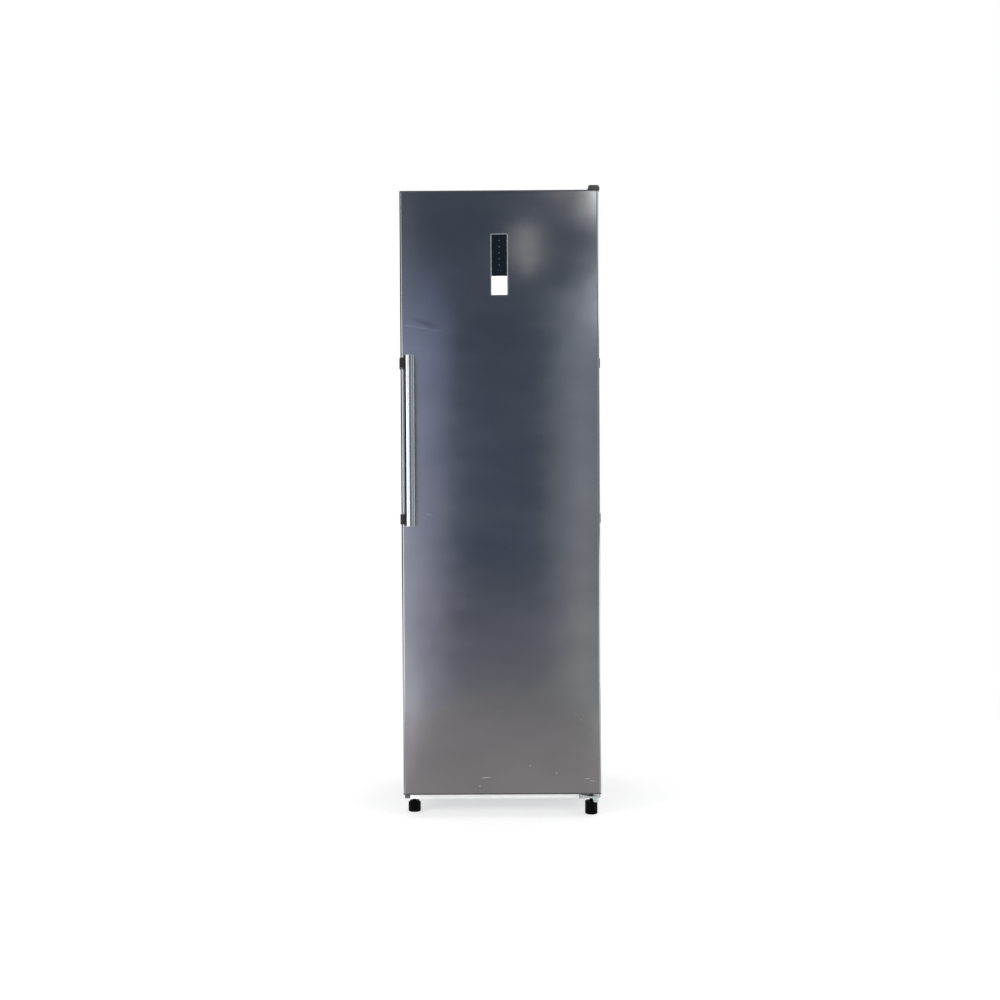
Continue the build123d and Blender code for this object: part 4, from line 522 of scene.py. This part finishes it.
# what stands round the part, for the bar, the rounded edges and the sides: name, middle, turn, then as above
roomCards = [
    ("leftWall", (-2.35, -2.35, 1.25), "upright", (2.0, 2.8), ("#f6f6f8", "#eef1fa"), (2.0, 1.9),
     (0.06, 0.2)),
    ("leftPanel", (-0.83, -2.35, 0.85), "upright", (0.64, 2.1), ("#f6f6f8", "#f4f6fa"), (2.6, 1.3),
     (0.2, 0.3)),
    ("rightHaze", (1.8, -2.3, 1.2), "upright", (1.6, 2.8), ("#eef0f6", "#e8ecf8"), (0.44, 0.34), (0.2, 0.3)),
    ("rightStrip", (0.86, -2.25, 1.2), "upright", (0.30, 2.6), ("#eef0f6", "#eef0f6"), (1.1, 1.1),
     (0.6, 0.2)),
    ("rightWall", (3.6, -2.3, 1.25), "upright", (1.6, 2.6), ("#e4e8f4", "#e4e8f4"), (0.45, 0.45),
     (0.3, 0.2)),
    ("leftDark", (-3.9, -0.6, 1.25), "sideways", (2.8, 3.2), ("#808080", "#808080"), (0.01, 0.01),
     (0.1, 0.1)),
    ("rightSideMiddle", (3.0, -0.1, 1.22), "sideways", (2.6, 1.1), pale, (0.8, 0.8), (0.3, 0.2)),
    ("rightSideHigh", (3.0, -0.1, 2.3), "sideways", (2.6, 1.2), pale, (3.0, 3.0), (0.3, 0.2)),
    ("rightSideLow", (3.0, -0.1, 0.27), "sideways", (2.6, 0.95), pale, (3.0, 3.0), (0.3, 0.2)),
    ("rearWall", (0, 3.2, 1.3), "upright", (5.0, 3.0), ("#f4f6fa", "#f4f6fa"), (0.7, 0.7), (0.3, 0.3)),
    ("greyFloor", (0, -1.95, 0.002), "flat", (2.6, 3.2), ("#faf1f1", "#faf3f1"), (0.325, 0.455),
     (0.3, 0.06)),
    ("leftFloor", (-0.46, -1.3, 0.004), "flat", (0.34, 2.0), ("#f6eef6", "#f6eef6"), (1.0, 1.0), (1.0, 0.3)),
    ("rightFloor", (0.48, -1.3, 0.004), "flat", (0.34, 2.0), ("#f4f4ea", "#f4f4ea"), (0.8, 0.8), (1.0, 0.3)),
]


def glossOnly(piece):
    # seen in reflections only, so it shapes the gloss without lighting or hiding anything
    piece.visible_camera = False
    piece.visible_diffuse = False
    piece.visible_shadow = False
    piece.visible_transmission = False
    piece.visible_volume_scatter = False


def cardLight(name, tints, powers, edges):
    # tint and light change evenly from foot to top, and the edges fade to clear
    material = bpy.data.materials.new(name)
    material.use_nodes = True
    tree = material.node_tree
    tree.nodes.clear()
    place = addNode(tree, "ShaderNodeTexCoord").outputs["Object"]
    axes = addNode(tree, "ShaderNodeSeparateXYZ", {}, {"Vector": place})
    reach = studio["cardEdge"]
    masks = []
    for axis, edge in zip("XY", edges):
        away = addNode(tree, "ShaderNodeMath", {"operation": "ABSOLUTE"}, {0: axes.outputs[axis]})
        fade = addNode(tree, "ShaderNodeMapRange",
                       {"interpolation_type": "SMOOTHSTEP", "From Min": reach,
                        "From Max": reach * (1 - edge), "To Min": 0.0, "To Max": 1.0},
                       {"Value": away.outputs["Value"]})
        masks.append(fade.outputs["Result"])
    mask = addNode(tree, "ShaderNodeMath", {"operation": "MULTIPLY"}, {0: masks[0], 1: masks[1]})
    rise = addNode(tree, "ShaderNodeMath", {"operation": "ADD", 1: reach}, {0: axes.outputs["Y"]})
    power = addNode(tree, "ShaderNodeMapRange", {"To Min": powers[0], "To Max": powers[1]},
                    {"Value": rise.outputs["Value"]})
    tint = addNode(tree, "ShaderNodeMix", {"data_type": "RGBA", 6: colour(tints[0]), 7: colour(tints[1])},
                   {0: rise.outputs["Value"]})
    clear = addNode(tree, "ShaderNodeBsdfTransparent")
    glow = addNode(tree, "ShaderNodeEmission", {},
                   {"Color": tint.outputs[2], "Strength": power.outputs["Result"]})
    both = addNode(tree, "ShaderNodeMixShader", {},
                   {0: mask.outputs["Value"], 1: clear.outputs["BSDF"], 2: glow.outputs["Emission"]})
    addNode(tree, "ShaderNodeOutputMaterial", {}, {"Surface": both.outputs["Shader"]})
    return material


def softCard(name, middle, turn, size, tints, powers, edges):
    # one card, with its own light
    clearSelection()
    angles = [math.radians(angle) for angle in turns[turn]]
    bpy.ops.mesh.primitive_plane_add(size=1, location=middle, rotation=angles)
    card = bpy.context.object
    card.name = name
    card.scale = (size[0], size[1], 1)
    card.data.materials.append(cardLight(name + "Light", tints, powers, edges))
    glossOnly(card)


scale = studio["cardScale"]
eyeX, eyeZ = studio["eye"]
for name, (x, z), (width, height), tints, powers, edges, behind in doorCards:
    middle = (eyeX + (x - eyeX) * scale, studio["cardY"] - behind, eyeZ + (z - eyeZ) * scale)
    softCard(name, middle, "upright", (width * scale, height * scale), tints, powers, edges)
for card in roomCards:
    softCard(*card)
print("reflection cards placed")


# lamps: name, place, what it points at, width, height and watts
softboxes = [
    ("leftSoftbox", (-3.0, -2.6, 1.7), (0, 0, 1.0), 1.2, 2.2, 60),
    ("rightSoftbox", (3.2, -2.4, 1.6), (0, 0, 1.0), 1.0, 2.0, 30),
    ("overhead", (0, -0.6, 4.2), (0, 0, 0.6), 3.0, 3.0, 35),
    ("lowFront", (0, -2.6, 0.35), (0, 0, 0.05), 2.0, 0.4, 14),
    ("backFill", (0.6, 3.4, 2.2), (0, 0, 1.0), 2.0, 2.0, 30),
]
for name, place, target, width, height, watts in softboxes:
    data = bpy.data.lights.new(name, "AREA")
    data.shape = "RECTANGLE"
    data.size = width
    data.size_y = height
    data.energy = watts
    lamp = bpy.data.objects.new(name, data)
    scene.collection.objects.link(lamp)
    lamp.location = place
    lamp.rotation_euler = (Vector(target) - Vector(place)).to_track_quat("-Z", "Y").to_euler()
    lamp.visible_glossy = False             # the cards are what the gloss shows

white = colour("#ffffff")
floorData = {
    "size": 14.0,
    "shader": {"Roughness": 0.9, "Specular IOR Level": 0.1,
               "Emission Strength": 0.52, "Emission Color": white},
    "tone": {"dark": "#b9b9b9", "light": "#bfbfbf", "size": 900},
    "fadeFrom": 0.9, "fadeTo": 3.2,         # distance from the part over which it melts into the white room
}


def studioFloor():
    # matt white paint, lit a little from within so that only the part's soft shadow shows
    clearSelection()
    bpy.ops.mesh.primitive_plane_add(size=floorData["size"], location=(0, 0, 0))
    floor = bpy.context.object
    floor.name = "studioFloor"
    material, tree, shader, place = newFinish("palePaintedFloor", floorData["shader"])
    mottle(tree, shader, place, **floorData["tone"])
    away = addNode(tree, "ShaderNodeVectorMath", {"operation": "LENGTH"}, {0: place})
    fade = addNode(tree, "ShaderNodeMapRange",
                   {"interpolation_type": "SMOOTHSTEP", "From Min": floorData["fadeFrom"],
                    "From Max": floorData["fadeTo"]}, {"Value": away.outputs["Value"]})
    haze = addNode(tree, "ShaderNodeEmission", {"Color": white, "Strength": 1.0})
    melt = addNode(tree, "ShaderNodeMixShader", {},
                   {0: fade.outputs["Result"], 1: shader.outputs["BSDF"], 2: haze.outputs["Emission"]})
    output = [node for node in tree.nodes if node.type == "OUTPUT_MATERIAL"][0]
    tree.links.new(melt.outputs["Shader"], output.inputs["Surface"])
    floor.data.materials.append(material)


roomData = {
    "backdrop": 1.0,                        # strength of the white that the camera sees
    "fill": 0.82,                           # and of the white that lights the part
    "glossTint": "#f4f6fa",                 # the gloss shows a dim room under a light ceiling
    "walls": 0.055, "ceiling": 0.45,
    "ceilingFrom": 0.15, "ceilingTo": 0.8,  # how steeply upwards the ceiling begins and is at full strength
}


def studioRoom():
    # white behind the part, a dim room in its gloss, and an even light on it
    world = bpy.data.worlds.new("studioWorld")
    scene.world = world
    world.use_nodes = True
    tree = world.node_tree
    tree.nodes.clear()
    path = addNode(tree, "ShaderNodeLightPath")
    heading = addNode(tree, "ShaderNodeTexCoord").outputs["Generated"]
    axes = addNode(tree, "ShaderNodeSeparateXYZ", {}, {"Vector": heading})
    ceiling = addNode(tree, "ShaderNodeMapRange",
                      {"interpolation_type": "SMOOTHSTEP", "From Min": roomData["ceilingFrom"],
                       "From Max": roomData["ceilingTo"],
                       "To Min": roomData["walls"], "To Max": roomData["ceiling"]},
                      {"Value": axes.outputs["Z"]})
    glossy = addNode(tree, "ShaderNodeBackground", {"Color": colour(roomData["glossTint"])},
                     {"Strength": ceiling.outputs["Result"]})
    fill = addNode(tree, "ShaderNodeBackground", {"Color": white, "Strength": roomData["fill"]})
    backdrop = addNode(tree, "ShaderNodeBackground", {"Color": white, "Strength": roomData["backdrop"]})
    lit = addNode(tree, "ShaderNodeMixShader", {},
                  {0: path.outputs["Is Glossy Ray"], 1: fill.outputs["Background"],
                   2: glossy.outputs["Background"]})
    shown = addNode(tree, "ShaderNodeMixShader", {},
                    {0: path.outputs["Is Camera Ray"], 1: lit.outputs["Shader"],
                     2: backdrop.outputs["Background"]})
    addNode(tree, "ShaderNodeOutputWorld", {}, {"Surface": shown.outputs["Shader"]})


studioFloor()
studioRoom()
print("studio lit")


# the photo's view: place in metres, turn, tilt and roll in degrees, lens and sensor width in millimetres
shot = {
    "place": (0.0188, -4.5226, 1.0246),
    "turn": 0.281, "tilt": -0.867, "roll": 0.335,
    "lens": 50.567, "sensor": 36,
}
lensData = bpy.data.cameras.new("camera")
lensData.lens = shot["lens"]
lensData.sensor_width = shot["sensor"]
camera = bpy.data.objects.new("camera", lensData)
scene.collection.objects.link(camera)
level = Matrix.Rotation(math.radians(90), 4, "X")           # a new camera looks down, now it looks ahead
turned = Matrix.Rotation(math.radians(shot["turn"]), 4, "Z")
tilted = Matrix.Rotation(math.radians(shot["tilt"]), 4, "X")
rolled = Matrix.Rotation(math.radians(shot["roll"]), 4, "Y")
camera.matrix_world = Matrix.Translation(shot["place"]) @ turned @ tilted @ rolled @ level
scene.camera = camera
print("camera set")
